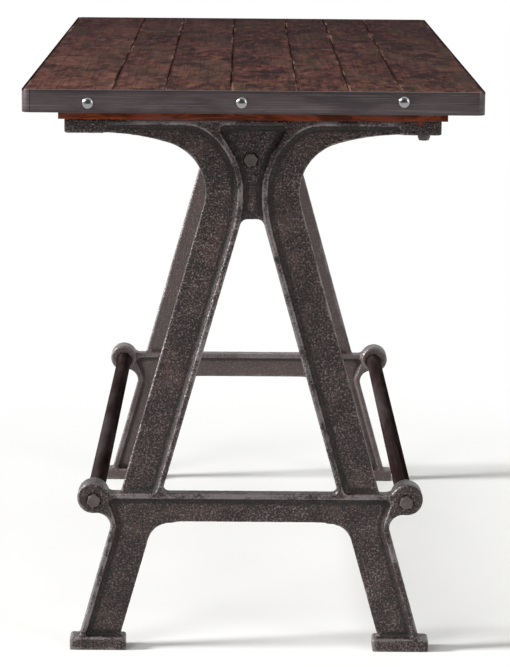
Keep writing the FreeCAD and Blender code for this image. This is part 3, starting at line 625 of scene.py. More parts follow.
def hammered_iron(iron):
    """Dark painted cast iron with a pebbled skin and rubbed crests, with painted highlights on the crests,
    painted glints, painted shade in the inside corners and painted light on the rear casting.
    """
    finish = Finish("hammered_iron")
    pebbles = finish.noise(1.0 / iron.pebble_width, 2.0)
    pits = finish.cells(0.8 / iron.pebble_width)
    clouds = finish.noise(30.0, 4.0, 0.6, 0.5)
    broad = finish.noise(7.0, 3.0)

    tone = finish.sum(pebbles, finish.spread(clouds, -0.035, 0.035))
    ground = finish.ramp(tone, (0.38, iron.soot_and_corner_shade), (0.46, iron.dark), (0.54, iron.paint), (0.67, iron.grit_and_rear_light))
    warm = finish.times(finish.fit(broad, 0.40, 0.66), finish.fit(clouds, 0.42, 0.7))
    ground = finish.blend(finish.times(warm, 0.7), ground, iron.rust)
    # Painted light: the rear casting is paled towards the grit colour, as if it were more lit.
    ground = finish.blend(finish.times(finish.attribute("painted_light"), 0.55), ground, iron.grit_and_rear_light)
    # Painted glints: bright specks on the high pebbles, as light catching the hammered paint.
    painted_glints = finish.sum(pebbles, finish.fit(clouds, 0.4, 0.7, -0.06, 0.05))
    ground = finish.marked(ground, (painted_glints, 0.64, 0.70, 0.8, iron.crest_wear_and_highlight))
    # Painted shade, with some soot: the inside corners are darkened towards the soot colour.
    corner = finish.sum(finish.attribute("hollow"), finish.spread(clouds, -0.15, 0.15))
    corner = finish.fit(corner, 0.35, 1.0, 0.0, 0.75)
    ground = finish.blend(corner, ground, iron.soot_and_corner_shade)
    # Worn crests: partly real wear, partly painted highlight where the rounded ribs would catch the light.
    rubbed_and_highlit = finish.sum(finish.attribute("wear_and_highlight"), finish.spread(clouds, -0.34, 0.26))
    rubbed_and_highlit = finish.sum(rubbed_and_highlit, finish.fit(broad, 0.38, 0.62, -0.30, 0.20))
    rubbed_and_highlit = finish.sum(rubbed_and_highlit, finish.spread(pebbles, -0.18, 0.18))
    crest_wear_and_highlight = finish.fit(rubbed_and_highlit, 0.42, 1.0)
    colour = finish.blend(crest_wear_and_highlight, ground, iron.crest_wear_and_highlight)
    shine = finish.sum(finish.spread(clouds, 0.46, 0.32), finish.times(crest_wear_and_highlight, -0.06))
    shine = finish.sum(shine, finish.times(corner, 0.35))
    normal = finish.bump(finish.total((pebbles, 0.75), (pits, 0.5)), 1.5 * MM, 1.0)
    metal = finish.times(crest_wear_and_highlight, 0.4)
    return finish.done(colour=colour, metal=metal, roughness=shine, specular=0.45, normal=normal)


def bar_steel(iron):
    """Round bar with a drawn, slightly pitted skin."""
    finish = Finish("bar_steel")
    drawn = finish.stretched((260.0, 5.0, 260.0), 3.0)
    pits = finish.noise(210.0, 3.0, 0.6)
    patches = finish.stretched((24.0, 3.0, 24.0), 3.0, 0.6)
    colour = finish.marked(
        iron.dark,
        (patches, 0.35, 0.68, 1.0, iron.bar),
        (drawn, 0.56, 0.72, 0.14, iron.grit_and_rear_light),
    )
    normal = finish.bump(finish.total((pits, 0.6), (drawn, 0.4)), 0.45 * MM, 0.5)
    shine = finish.spread(patches, 0.50, 0.34)
    return finish.done(colour=colour, metal=0.0, roughness=shine, specular=0.0, normal=normal)


def plank_wood(wood):
    """Old stained planks, mottled dark and red-brown, rubbed to tan in places, with painted shade towards the
    back and painted light on the lower-numbered planks.
    """
    finish = Finish("plank_wood")
    board = finish.attribute("board")
    edge = finish.attribute("edge")
    local = finish.apart(board, BOARD_STEPS)
    patches = finish.stretched((14.0, 7.5, 14.0), 3.0, 0.58, 0.6, local)
    blots = finish.stretched((70.0, 22.0, 70.0), 4.0, 0.64, 0.4, local)
    tint = finish.stretched((11.0, 5.0, 11.0), 2.0, 0.5, 0.6, local)
    streaks = finish.stretched((17.0, 8.0, 17.0), 4.0, 0.60, 1.0, local)
    grain = finish.stretched((260.0, 6.0, 260.0), 3.0, 0.55, 0.0, local)
    fibres = finish.stretched((700.0, 14.0, 700.0), 2.0, 0.5, 0.0, local)
    along = finish.stretched((11.0, 5.0, 11.0), 3.0, 0.6, 0.0, local)

    tone = finish.total((patches, 0.5), (blots, 0.5))
    # Painted light: the planks grow darker with their number, as if the lower-numbered planks were more lit
    # from the left.
    tone = finish.sum(tone, finish.fit(board, 1.0, 5.0, 0.035, -0.020))
    front = finish.times(finish.fit(finish.axis("Y"), PALE_FROM, PALE_TO), 0.10)
    ground = finish.ramp(tone, (0.39, wood.stain_and_far_shade), (0.46, wood.umber), (0.53, wood.russet), (0.62, wood.worn))
    colour = finish.marked(
        ground,
        (tint, 0.44, 0.66, 0.66, wood.ash),
        (streaks, 0.49, 0.68, 0.80, wood.stain_and_far_shade),
        # Painted shade: the planks are darkened towards the back.
        (finish.axis("Y"), FAR_SHADE_FROM, FAR_SHADE_TO, 0.60, wood.stain_and_far_shade),
        (finish.sum(blots, front), 0.56, 0.76, 0.50, wood.tan),
        (grain, 0.48, 0.70, 0.55, wood.stain_and_far_shade),
        (fibres, 0.54, 0.75, 0.35, wood.tan),
        (edge, 0.25, 0.9, 0.85, wood.gap),
    )
    bare = finish.fit(finish.sum(along, front), 0.50, 0.70)
    ragged = finish.fit(finish.sum(edge, finish.fit(blots, 0.35, 0.65, -0.25, 0.20)), 0.30, 0.70)
    colour = finish.blend(finish.times(finish.times(bare, ragged), 0.75), colour, wood.raw)
    shine = finish.fit(tone, 0.38, 0.66, 0.62, 0.80)
    normal = finish.bump(finish.total((grain, 0.5), (blots, 0.5), (fibres, 0.2)), 0.7 * MM, 0.5)
    return finish.done(colour=colour, roughness=shine, specular=0.0, normal=normal)


def orange_wood(wood):
    """Orange-red wood with dark, dirty places, grained along X."""
    finish = Finish("orange_wood")
    grain = finish.stretched((9.0, 300.0, 300.0), 4.0, 0.6)
    dirt = finish.stretched((14.0, 40.0, 60.0), 5.0, 0.66, 0.8)
    colour = finish.marked(
        wood.cleat,
        (grain, 0.35, 0.68, 1.0, wood.russet),
        (dirt, 0.40, 0.62, 0.85, wood.dirt),
    )
    normal = finish.bump(grain, 0.5 * MM, 0.5)
    return finish.done(colour=colour, roughness=0.7, specular=0.0, normal=normal)


def brushed_band(steel):
    """Dark steel strip, brushed and scratched along its length, dirty along its upper and lower edges, with a
    painted highlight on its top edge and painted shade on its upper edges at the sides.
    """
    finish = Finish("brushed_band")
    brushed = finish.stretched((7.0, 7.0, 900.0), 3.0, 0.6)
    scratches = finish.stretched((16.0, 16.0, 1500.0), 2.0, 0.5, 0.2)
    patches = finish.stretched((9.0, 9.0, 30.0), 4.0, 0.6)
    high = finish.axis("Z")
    # Painted highlight: a bright line along the band's top edge, where it would catch the light.
    lip_highlight = finish.fit(high, TOP_HIGH.z - 1.4 * MM, TOP_HIGH.z - 0.3 * MM)
    colour = finish.marked(
        steel.band,
        (patches, 0.42, 0.62, 0.75, steel.tarnish),
        (brushed, 0.52, 0.74, 0.55, steel.scratch_and_lip_highlight),
        (scratches, 0.66, 0.74, 0.8, steel.scratch_and_lip_highlight),
    )
    colour = finish.blend(finish.times(lip_highlight, 0.35), colour, steel.scratch_and_lip_highlight)
    rim = finish.fit(high, TOP_LOW.z + 6.0 * MM, TOP_LOW.z + 0.5 * MM, 0.0, 0.55)
    rim = finish.sum(rim, finish.fit(high, TOP_HIGH.z - 7.0 * MM, TOP_HIGH.z - 2.0 * MM, 0.0, 0.45))
    colour = finish.blend(rim, colour, steel.rim)
    # Painted shade: the upper edges of the side strips are darkened, dulled and made less metallic, where the
    # light from the left lights them brightly.
    across = finish.axis("X")
    inner, outer = TOP_HIGH.x - 5.0 * MM, TOP_HIGH.x - 3.5 * MM
    side = finish.fit(finish.times(across, across), inner ** 2, outer ** 2)
    most = 0.9
    side_edge_shade = finish.times(side, finish.fit(high, TOP_HIGH.z - 4.0 * MM, TOP_HIGH.z - 1.5 * MM, 0.0, most))
    colour = finish.blend(side_edge_shade, colour, steel.side_edge_shade)
    normal = finish.bump(finish.total((brushed, 0.6), (scratches, 0.4)), 0.25 * MM, 0.4)
    shine = finish.sum(finish.spread(brushed, 0.46, 0.34), finish.times(side_edge_shade, 0.5))
    metal = finish.fit(side_edge_shade, 0.0, most, 0.55, 0.0)
    gleam = finish.fit(side_edge_shade, 0.0, most, 0.3, 0.0)
    return finish.done(colour=colour, metal=metal, roughness=shine, specular=gleam, normal=normal)


def polished_nail(steel):
    """Bright nail heads with faint tarnish."""
    finish = Finish("polished_nail")
    tarnish = finish.noise(420.0, 3.0, 0.6)
    dull = finish.noise(110.0, 2.0)
    colour = finish.marked(steel.nail, (tarnish, 0.54, 0.74, 0.4, steel.bolt))
    shine = finish.fit(dull, 0.35, 0.65, 0.15, 0.26)
    normal = finish.bump(tarnish, 0.08 * MM, 0.25)
    return finish.done(colour=colour, metal=1.0, roughness=shine, normal=normal)


def dark_bolts(steel):
    """Dark bolts with bright nicks."""
    finish = Finish("dark_bolts")
    nicks = finish.noise(330.0, 4.0, 0.65)
    patches = finish.noise(90.0, 3.0)
    colour = finish.marked(
        steel.bolt,
        (patches, 0.35, 0.65, 0.4, steel.shade),
        (nicks, 0.58, 0.72, 0.6, steel.scratch_and_lip_highlight),
    )
    shine = finish.spread(patches, 0.50, 0.34)
    normal = finish.bump(nicks, 0.35 * MM, 0.5)
    return finish.done(colour=colour, metal=0.2, roughness=shine, specular=0.4, normal=normal)


# ---------------------------------------------------------------- castings and rails

WEAR_AND_HIGHLIGHT_ROUNDS, WEAR_AND_HIGHLIGHT_FULL = 3, 0.11  # evening rounds, and the relief at which a crest counts as fully rubbed bare and painted as highlight
HOLLOW_ROUNDS, HOLLOW_FULL = 16, -0.030  # the same for the inside corners, where painted shade darkens the paint
BAR_SIDES = 40
BAR_STEP = 7.0 * MM
BAR_UNEVENNESS = 0.03 * MM
BAR_DENTS = 22.0  # per metre
BAR_SHARP_ANGLE, METAL_SHARP_ANGLE, WOOD_SHARP_ANGLE = 40.0, 35.0, 50.0


def eased_skin(piece, iron):
    """Rebuilds a piece's skin on a fine grid and eases its edges."""
    skin = piece.modifiers.new("skin", "REMESH")
    skin.mode = "VOXEL"
    skin.voxel_size = iron.skin_step
    ease = piece.modifiers.new("ease", "SMOOTH")
    ease.factor = 0.5
    ease.iterations = iron.skin_softening
    mesh = baked(piece)
    piece.modifiers.clear()
    piece.data = mesh
    return piece


def point_arrays(mesh):
    """A mesh's points, their normals and its edges, as arrays."""
    count = len(mesh.vertices)
    points, normals = np.empty(count * 3), np.empty(count * 3)
    edges = np.empty(len(mesh.edges) * 2, int)
    mesh.vertices.foreach_get("co", points)
    mesh.vertex_normals.foreach_get("vector", normals)
    mesh.edges.foreach_get("vertices", edges)
    return points.reshape(-1, 3), normals.reshape(-1, 3), edges.reshape(-1, 2)


def neighbour_mean(values, edges):
    """For each point, the mean of its neighbours' values."""
    total = np.zeros_like(values)
    degree = np.zeros(len(values))
    for here, there in ((0, 1), (1, 0)):
        np.add.at(total, edges[:, here], values[edges[:, there]])
        np.add.at(degree, edges[:, here], 1.0)
    degree = np.maximum(degree, 1.0)
    return total / (degree[:, None] if values.ndim == 2 else degree)


def relief(points, normals, edges, step, rounds):
    """How far each point stands out from its neighbours, evened out over some rounds."""
    lift = np.einsum("ij,ij->i", points - neighbour_mean(points, edges), normals) / step
    for _ in range(rounds):
        lift = 0.5 * lift + 0.5 * neighbour_mean(lift, edges)
    return lift


def cast_frame(node, painted_light, iron, material):
    """One end frame with an uneven cast skin; the number after the node is how far painted light pales the
    frame's colour.
    """
    piece = eased_skin(new_piece(node + "_casting", kept_mesh(node, merged_copy(node))), iron)
    mesh = piece.data
    points, normals, edges = point_arrays(mesh)
    # Relief of each point: the castings' finish paints worn bare metal and highlight on the crests.
    wear_and_highlight = np.clip(relief(points, normals, edges, iron.skin_step, WEAR_AND_HIGHLIGHT_ROUNDS) / WEAR_AND_HIGHLIGHT_FULL, 0.0, 1.0)
    # How deep each point lies in an inside corner; the castings' finish paints shade there.
    depth = relief(points, normals, edges, iron.skin_step, HOLLOW_ROUNDS)
    hollow = np.clip(depth / HOLLOW_FULL, 0.0, 1.0)
    scale = 1.0 / iron.dimple_width
    dimples = np.array([noise.noise(Vector(point) * scale) for point in points])
    points = points + normals * (iron.skin_growth + dimples * iron.dimple_depth)[:, None]
    low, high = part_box(node)
    points = np.clip(points, low, high)
    mesh.vertices.foreach_set("co", points.ravel())
    mesh.update()
    keep_number(mesh, "wear_and_highlight", wear_and_highlight)
    keep_number(mesh, "hollow", hollow)
    # Painted light: how much paler this frame is painted.
    keep_number(mesh, "painted_light", np.full(len(points), painted_light))
    mesh.shade_smooth()
    paint(piece, material)
    hand_over(piece, "casting_iron", node)


def build_castings(iron):
    """The two end frames."""
    material = hammered_iron(iron)
    # The rear frame gets painted light that pales it; the front frame gets none.
    for node, painted_light in (("front_end_frame", 0.0), ("rear_end_frame", iron.rear_painted_light)):
        cast_frame(node, painted_light, iron, material)


def build_bars(iron):
    """The foot rails and the tie rod, as round bars with slightly uneven skins."""
    material = bar_steel(iron)
    for node in ("foot_rail_left", "foot_rail_right", "neck_tie_rod"):
        low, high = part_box(node)
        middle = (low + high) / 2
        radius = (high.x - low.x) / 2
        rings = []
        for y in steps(low.y, high.y, BAR_STEP):
            ring = []
            for k in range(BAR_SIDES):
                angle = 2 * math.pi * k / BAR_SIDES
                outward = Vector((math.cos(angle), 0.0, math.sin(angle)))
                place = Vector((middle.x, y, middle.z)) + outward * radius
                dent = BAR_UNEVENNESS * (0.5 + 0.5 * noise.noise(place * BAR_DENTS))
                ring.append(place - outward * dent)
            rings.append(ring)
        piece = new_piece(node + "_bar", swept_mesh(node, rings))
        smooth_by_angle(piece, BAR_SHARP_ANGLE)
        paint(piece, material)
        hand_over(piece, "rail_steel", node)


# ---------------------------------------------------------------- fasteners

RAIL_BOLT_TURN, TIE_BOLT_TURN = 0.3, 0.1  # radians
WASHER_CLEARANCE, WASHER_ROUNDING = 0.3 * MM, 0.5 * MM
SCREW_HEAD_HEIGHT, SCREW_SKIRT = 3.0 * MM, 0.4 * MM


def end_side(box):
    """-1 for the front end, 1 for the rear end."""
    return math.copysign(1.0, box[0].y + box[1].y)


def bolt_group(name, node, seats, tree, sizes, material):
    """One piece with all the bolts of a CAD node."""
    piece = grown(name, seats_mesh(node, seats), tree, sizes, material)
    hand_over(piece, "bolt_steel", node)


def outward_seats(node, head_height, turn):
    """Seats of bolts whose heads face the table's ends."""
    seats = []
    for box in solid_boxes(node):
        side = end_side(box)
        middle = (box[0] + box[1]) / 2
        tip = box[0].y if side < 0 else box[1].y
        seats.append(((middle.x, tip - side * head_height, middle.z), (0.0, side, 0.0), turn))
    return seats


def downward_seats(node, head_height):
    """Seats of bolts whose heads face the floor."""
    seats = []
    for low, high in solid_boxes(node):
        middle = (low + high) / 2
        seats.append(((middle.x, middle.y, low.z + head_height), (0.0, 0.0, -1.0), 0.0))
    return seats


def box_height(node, axis):
    """Length of a node's first solid along an axis."""
    low, high = solid_boxes(node)[0]
    return (high - low)[axis]


def build_bolts(steel):
    """The rail bolts, the tie rod bolts, the arm bolts and the ledge screws."""
    material = dark_bolts(steel)
    tree = hex_bolt_tree()
    large = {"Flats": steel.large_flats, "Head Height": steel.large_head,
             "Shank Radius": steel.large_shank / 2}
    for name, node, turn in (("rail_bolts", "foot_rail_bolts", RAIL_BOLT_TURN),
                             ("tie_bolts", "tie_rod_bolts", TIE_BOLT_TURN)):
        sizes = dict(large)
        sizes["Shank Length"] = box_height(node, 1) - steel.large_head
        bolt_group(name, node, outward_seats(node, steel.large_head, turn), tree, sizes, material)
    groups = (
        ("arm_bolt_set", "arm_bolts", steel.arm_flats, steel.arm_head, steel.arm_shank),
        ("ledge_screw_set", "ledge_screws", steel.ledge_flats, steel.ledge_head, steel.ledge_shank),
    )
    for name, node, flats, head, shank in groups:
        sizes = {"Flats": flats, "Head Height": head, "Shank Radius": shank / 2,
                 "Shank Length": box_height(node, 2) - head}
        bolt_group(name, node, downward_seats(node, head), tree, sizes, material)


def build_washers(steel):
    """The washers under the arm pads."""
    low, high = solid_boxes("arm_washers")[0]
    sizes = {"Hole Radius": steel.arm_shank / 2 + WASHER_CLEARANCE, "Rim Radius": (high.x - low.x) / 2,
             "Thickness": high.z - low.z, "Edge Rounding": WASHER_ROUNDING}
    seats = []
    for low, high in solid_boxes("arm_washers"):
        middle = (low + high) / 2
        seats.append(((middle.x, middle.y, low.z), (0.0, 0.0, 1.0), 0.0))
    piece = grown("washers", seats_mesh("washers", seats), washer_tree(), sizes, dark_bolts(steel))
    smooth_by_angle(piece, METAL_SHARP_ANGLE)
    hand_over(piece, "bolt_steel", "arm_washers")


def build_cleat_screws(steel):
    """The wood screws up through the cleats."""
    sizes = {"Head Radius": steel.screw_head, "Head Height": SCREW_HEAD_HEIGHT, "Skirt": SCREW_SKIRT,
             "Shank Radius": steel.screw_shank,
             "Shank Length": box_height("cleat_screws", 2) - SCREW_HEAD_HEIGHT}
    seats = downward_seats("cleat_screws", SCREW_HEAD_HEIGHT)
    bolt_group("cleat_screw_set", "cleat_screws", seats, dome_nail_tree(), sizes, dark_bolts(steel))


def build_nails(steel):
    """The domed nails round the band, each in the place that the frame gives it."""
    seats = []
    radius = height = length = 0.0
    for low, high in solid_boxes("band_nails"):
        middle = (low + high) / 2
        size = high - low
        if abs(middle.x) + size.x < TOP_HIGH.x and abs(middle.y) > TOP_HIGH.y - size.y:
            side = math.copysign(1.0, middle.y)
            place = (middle.x, side * TOP_HIGH.y, middle.z)
            facing = (0.0, side, 0.0)
            radius, length = size.x / 2, size.y
            height = max(abs(low.y), abs(high.y)) - TOP_HIGH.y
        else:
            side = math.copysign(1.0, middle.x)
            place = (side * TOP_HIGH.x, middle.y, middle.z)
            facing = (side, 0.0, 0.0)
        seats.append((place, facing, 0.0))
    sizes = {"Head Radius": radius, "Head Height": height, "Skirt": steel.nail_skirt,
             "Shank Radius": steel.nail_shank, "Shank Length": length - height}
    piece = grown("nails", seats_mesh("nails", seats), dome_nail_tree(), sizes, polished_nail(steel))
    hand_over(piece, "nail_steel", "band_nails")


# ---------------------------------------------------------------- band

def strip_path(turn, steel):
    """Corner points of one strip's middle line; turn is 1 for the front and right strip, -1 for the other."""
    inset = steel.band_thickness / 2
    x, y, z = TOP_HIGH.x - inset, TOP_HIGH.y - inset, (TOP_LOW.z + TOP_HIGH.z) / 2
    seam = TOP_HIGH.x - steel.band_corner
    corners = [(steel.band_seam / 2 - seam, -y), (x, -y), (x, y), (steel.band_seam / 2 + seam, y)]
    return [(turn * along, turn * across, z) for along, across in corners]


def build_bands(steel):
    """The two strips of the edge band."""
    material = brushed_band(steel)
    tree = edge_band_tree()
    sizes = {"Thickness": steel.band_thickness, "Depth": TOP_HIGH.z - TOP_LOW.z,
             "Bend Radius": steel.band_corner - steel.band_thickness / 2,
             "Edge Rounding": steel.band_rounding}
    for node, turn in (("edge_band_front_right", 1), ("edge_band_rear_left", -1)):
        base = bpy.data.meshes.new(node)
        base.from_pydata(strip_path(turn, steel), [(0, 1), (1, 2), (2, 3)], [])
        piece = grown(node + "_strip", base, tree, sizes, material)
        smooth_by_angle(piece, METAL_SHARP_ANGLE)
        hand_over(piece, "band_steel", node)


# ---------------------------------------------------------------- planks and cleats

COARSE_CHIPS, FINE_CHIPS = 7.0, 30.0  # waves of splintering per metre of a plank's edge
INNER_POINTS = 12
INNER_MARGIN = 7.0 * MM
EDGE_RUN_OUT = 1.6 * MM  # how far past its rounding an edge eases into the top
END_ANGLE_STEP = 15
CLEAT_STEP = 6.0 * MM
SPLINTER_WIDTH, SPLINTER_THICKNESS, SPLINTER_ROOT = 7.0 * MM, 1.6 * MM, 3.0 * MM


def corner_limit(y, side_x, end_y, radius):
    """Greatest X of the planks at a place along the top, inside its rounded corners."""
    past = abs(y) - (end_y - radius)
    if past <= 0.0:
        return side_x
    return side_x - radius + math.sqrt(max(0.0, radius ** 2 - past ** 2))


def chip_at(y, seed, wood):
    """Rounding of a plank's edge at a place: a steady easing with splinters gone here and there."""
    coarse = noise.noise(Vector((seed * 9.7, y * COARSE_CHIPS, 0.3)))
    fine = noise.noise(Vector((seed * 5.1, y * FINE_CHIPS, 4.2)))
    loss = max(0.0, coarse - 0.05) * 1.6 + max(0.0, fine - 0.25) * 0.7
    return wood.edge_rounding * (1.0 + 0.35 * fine) + wood.chip_depth * min(1.0, loss)


def plank_ring(y, left, right, bottom, top, roundings, wood):
    """Cross section of a plank at one place, with how near each point is to a worn edge."""
    ring, edge = [], []

    def put(x, z, nearness):
        ring.append((x, y, z))
        edge.append(nearness)

    put(left, bottom, 0.0)
    for corner, x, inward in ((0, left, 1.0), (1, right, -1.0)):
        r = roundings[corner]
        shaped = [
            (x, top - r * 1.3, 0.5),
            (x + inward * r * 0.22, top - r * 0.45, 1.0),
            (x + inward * r * 0.75, top - r * 0.10, 1.0),
            (x + inward * (r + EDGE_RUN_OUT), top, 0.55),
        ]
        if corner == 1:
            shaped.reverse()
        for point in shaped:
            put(*point)
        if corner == 0:
            for k in range(INNER_POINTS):
                share = k / (INNER_POINTS - 1)
                across = left + INNER_MARGIN + (right - left - 2 * INNER_MARGIN) * share
                dip = 0.5 + 0.5 * noise.noise(Vector((across * 26.0, y * 9.0, left)))
                put(across, top - wood.top_wave * dip, 0.12 if k in (0, INNER_POINTS - 1) else 0.0)
    put(right, bottom, 0.0)
    return ring, edge


def plank(node, number, limits, wood, material):
    """One plank with worn, splintered long edges."""
    low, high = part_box(node)
    side_x, end_y = limits
    radius = wood.corner_radius
    angles = range(0, 91, END_ANGLE_STEP)
    bend = [end_y - radius * (1.0 - math.sin(math.radians(angle))) for angle in angles]
    straight = steps(-bend[0], bend[0], wood.station_step)
    stations = [-y for y in reversed(bend[1:])] + straight + bend[1:]
    rings, edge = [], []
    for y in stations:
        limit = corner_limit(y, side_x, end_y, radius)
        roundings = (chip_at(y, number, wood), chip_at(y, number + 0.45, wood))
        left, right = max(low.x, -limit), min(high.x, limit)
        ring, nearness = plank_ring(y, left, right, low.z, high.z, roundings, wood)
        rings.append(ring)
        edge.extend(nearness)
    mesh = swept_mesh(node, rings)
    keep_number(mesh, "edge", edge)
    keep_number(mesh, "board", [number] * len(mesh.vertices))
    piece = new_piece(node + "_board", mesh)
    smooth_by_angle(piece, WOOD_SHARP_ANGLE)
    paint(piece, material)
    hand_over(piece, "top_wood", node)


def build_planks(wood):
    """The planks of the top."""
    material = plank_wood(wood)
    boxes = [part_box(node) for node in PLANK_NODES]
    limits = (max(high.x for _, high in boxes), max(high.y for _, high in boxes))
    for number, node in enumerate(PLANK_NODES, start=1):
        plank(node, number, limits, wood, material)


def cleat_ring(x, low, high, bevel):
    """Cross section of a cleat at one place, with rough edges."""
    ring = []
    for y, z, inward_y, inward_z in ((low.y, low.z, 1, 1), (high.y, low.z, -1, 1),
                                     (high.y, high.z, -1, -1), (low.y, high.z, 1, -1)):
        rough = bevel * (1.0 + 0.8 * noise.noise(Vector((x * 30.0, y * 11.0, z * 17.0))))
        first = (x, y, z + inward_z * rough)
        middle = (x, y + inward_y * rough * 0.3, z + inward_z * rough * 0.3)
        last = (x, y + inward_y * rough, z)
        ring.extend([first, middle, last] if inward_y * inward_z > 0 else [last, middle, first])
    return ring


def splinter_mesh(wood, low):
    """A thin wedge of wood torn down from the lower edge of the front cleat."""
    x, y, z = wood.splinter_x, low.y, low.z
    root, tip = z + SPLINTER_ROOT, z - wood.splinter_drop
    outline = [(-1.0, root), (-0.55, z - 0.4 * wood.splinter_drop), (-0.08, tip),
               (0.12, tip + 0.6 * MM), (0.5, z - 0.3 * wood.splinter_drop), (0.9, root)]
    rings = []
    for depth in (0.05 * MM, SPLINTER_THICKNESS):
        rings.append([(x + SPLINTER_WIDTH * share, y + depth, height) for share, height in outline])
    return swept_mesh("splinter", rings)


def build_cleats(wood):
    """The two cleats under the planks, and the splinter."""
    material = orange_wood(wood)
    for node in ("front_cleat", "rear_cleat"):
        low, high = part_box(node)
        rings = [cleat_ring(x, low, high, wood.bevel) for x in steps(low.x, high.x, CLEAT_STEP)]
        piece = new_piece(node + "_bar", swept_mesh(node, rings))
        smooth_by_angle(piece, WOOD_SHARP_ANGLE)
        paint(piece, material)
        hand_over(piece, "cleat_wood", node)
    splinter = new_piece("cleat_splinter", splinter_mesh(wood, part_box("front_cleat")[0]))
    paint(splinter, material)
    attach(splinter, BODY)


# ---------------------------------------------------------------- stage

FLOOR_SIDES = 96
FLOOR_CLOUD = 0.985  # how much darker the floor's clouds are
ROOM_DARK, ROOM_BRIGHT = -0.92, -0.30  # mirrored directions, from the camera's side to the rest
KEY_PLACE, KEY_SIZE = (-3.0, -3.4, 3.2), (2.0, 2.0)
FILL_PLACE, FILL_SIZE = (3.2, -3.0, 2.0), (1.4, 2.4)
WINDOW_DIRECTION = (-1.0, -0.12, 0.44)
AIM_SHARE = 0.55  # height that the lamps aim at, as a share of the table's
SENSOR_WIDTH = 36.0
VIEW_DEPTH = 100.0


def pale_floor(studio):
    """Pale floor that keeps the table's shadow and fades to plain white away from it."""
    finish = Finish("pale_floor")
    tree = finish.tree
    darker = tuple(value * FLOOR_CLOUD for value in studio.floor)
    colour = finish.blend(finish.spread(finish.noise(3.0, 2.0), 0.0, 1.0), studio.floor, darker)
    finish.done(colour=colour, roughness=0.9, specular=0.0)
    away = add_node(tree, "ShaderNodeVectorMath", {0: finish.place}, operation="LENGTH").outputs["Value"]
    fade = finish.fit(away, studio.fade_start, studio.fade_end)
    white = result(tree, "ShaderNodeEmission", {"Color": (1.0, 1.0, 1.0), "Strength": 1.0})
    share = finish.times(fade, seen_directly(tree))
    mixed = result(tree, "ShaderNodeMixShader", {0: share, 1: finish.shader.outputs[0], 2: white})
    feed(tree, mixed, tree.nodes["Material Output"].inputs["Surface"])
    return finish.material


def seen_directly(tree):
    """1 for camera, mirror and glass rays, 0 for light."""
    path = tree.nodes.new("ShaderNodeLightPath")
    seen = path.outputs["Is Camera Ray"]
    for other in ("Is Glossy Ray", "Is Transmission Ray"):
        seen = reckon(tree, "MAXIMUM", seen, path.outputs[other])
    return seen


def white_world(studio):
    """Plain white behind everything, with a softer strength as light."""
    world = bpy.data.worlds.new("white_world")
    world.use_nodes = True
    tree = world.node_tree
    back = tree.nodes["Background"]
    feed(tree, (1.0, 1.0, 1.0), back.inputs["Color"])
    direction = tree.nodes.new("ShaderNodeTexCoord").outputs["Generated"]
    towards = add_node(tree, "ShaderNodeSeparateXYZ", {0: direction}).outputs["Y"]
    room = fitted(tree, towards, ROOM_DARK, ROOM_BRIGHT, studio.room, 1.0)
    path = tree.nodes.new("ShaderNodeLightPath").outputs
    shown = reckon(tree, "MAXIMUM", path["Is Camera Ray"], path["Is Transmission Ray"])
    mirrored = scaled(tree, path["Is Glossy Ray"], room)
    lit = scaled(tree, reckon(tree, "SUBTRACT", 1.0, seen_directly(tree)), studio.ambient)
    feed(tree, reckon(tree, "ADD", reckon(tree, "ADD", shown, mirrored), lit), back.inputs["Strength"])
    bpy.context.scene.world = world


def softbox(name, place, aim, size, power):
    """A square soft lamp aimed at a point."""
    lamp = bpy.data.lights.new(name, "AREA")
    lamp.shape = "RECTANGLE"
    lamp.size, lamp.size_y = size
    lamp.energy = power
    holder = placed(name, lamp)
    holder.location = place
    holder.rotation_euler = (Vector(aim) - Vector(place)).to_track_quat("-Z", "Y").to_euler()


def broad_light(name, towards, strength, spread):
    """A distant soft light that comes from a direction."""
    lamp = bpy.data.lights.new(name, "SUN")
    lamp.energy = strength
    lamp.angle = spread
    holder = placed(name, lamp)
    holder.rotation_euler = Vector(towards).to_track_quat("Z", "Y").to_euler()


def set_camera(studio):
    """A long lens at the front end, looking a little down."""
    camera = bpy.data.cameras.new("camera")
    camera.lens = studio.camera_lens
    camera.sensor_width = SENSOR_WIDTH
    camera.clip_end = VIEW_DEPTH
    holder = placed("camera", camera)
    place = Matrix.Translation((studio.camera_side, -studio.camera_distance, studio.camera_height))
    turned = Matrix.Rotation(-studio.camera_yaw, 4, "Z")
    tilted = Matrix.Rotation(math.pi / 2 - studio.camera_pitch, 4, "X")
    leaning = Matrix.Rotation(studio.camera_roll, 4, "Z")
    holder.matrix_world = place @ (turned @ tilted) @ leaning
    bpy.context.scene.camera = holder


def build_stage(studio):
    """The floor, the lamps, the white surroundings and the camera."""
    work = bmesh.new()
    bmesh.ops.create_circle(work, cap_ends=True, segments=FLOOR_SIDES, radius=studio.floor_radius)
    floor = new_piece("floor", kept_mesh("floor", work))
    paint(floor, pale_floor(studio))
    white_world(studio)
    middle = (0.0, 0.0, TOP_HIGH.z * AIM_SHARE)
    softbox("key", KEY_PLACE, middle, KEY_SIZE, studio.key)
    softbox("fill", FILL_PLACE, middle, FILL_SIZE, studio.fill)
    broad_light("window", WINDOW_DIRECTION, studio.window, studio.window_spread)
    set_camera(studio)
    bpy.context.scene.view_settings.view_transform = "Standard"


# ---------------------------------------------------------------- operators and panel

class WORKTABLE_OT_castings(bpy.types.Operator):
    """Builds the two cast end frames with their pebbled skin"""
    bl_idname = "worktable.castings"
    bl_label = "End Frames"

    def execute(self, context):
        build_castings(context.scene.worktable_iron)
        return {"FINISHED"}


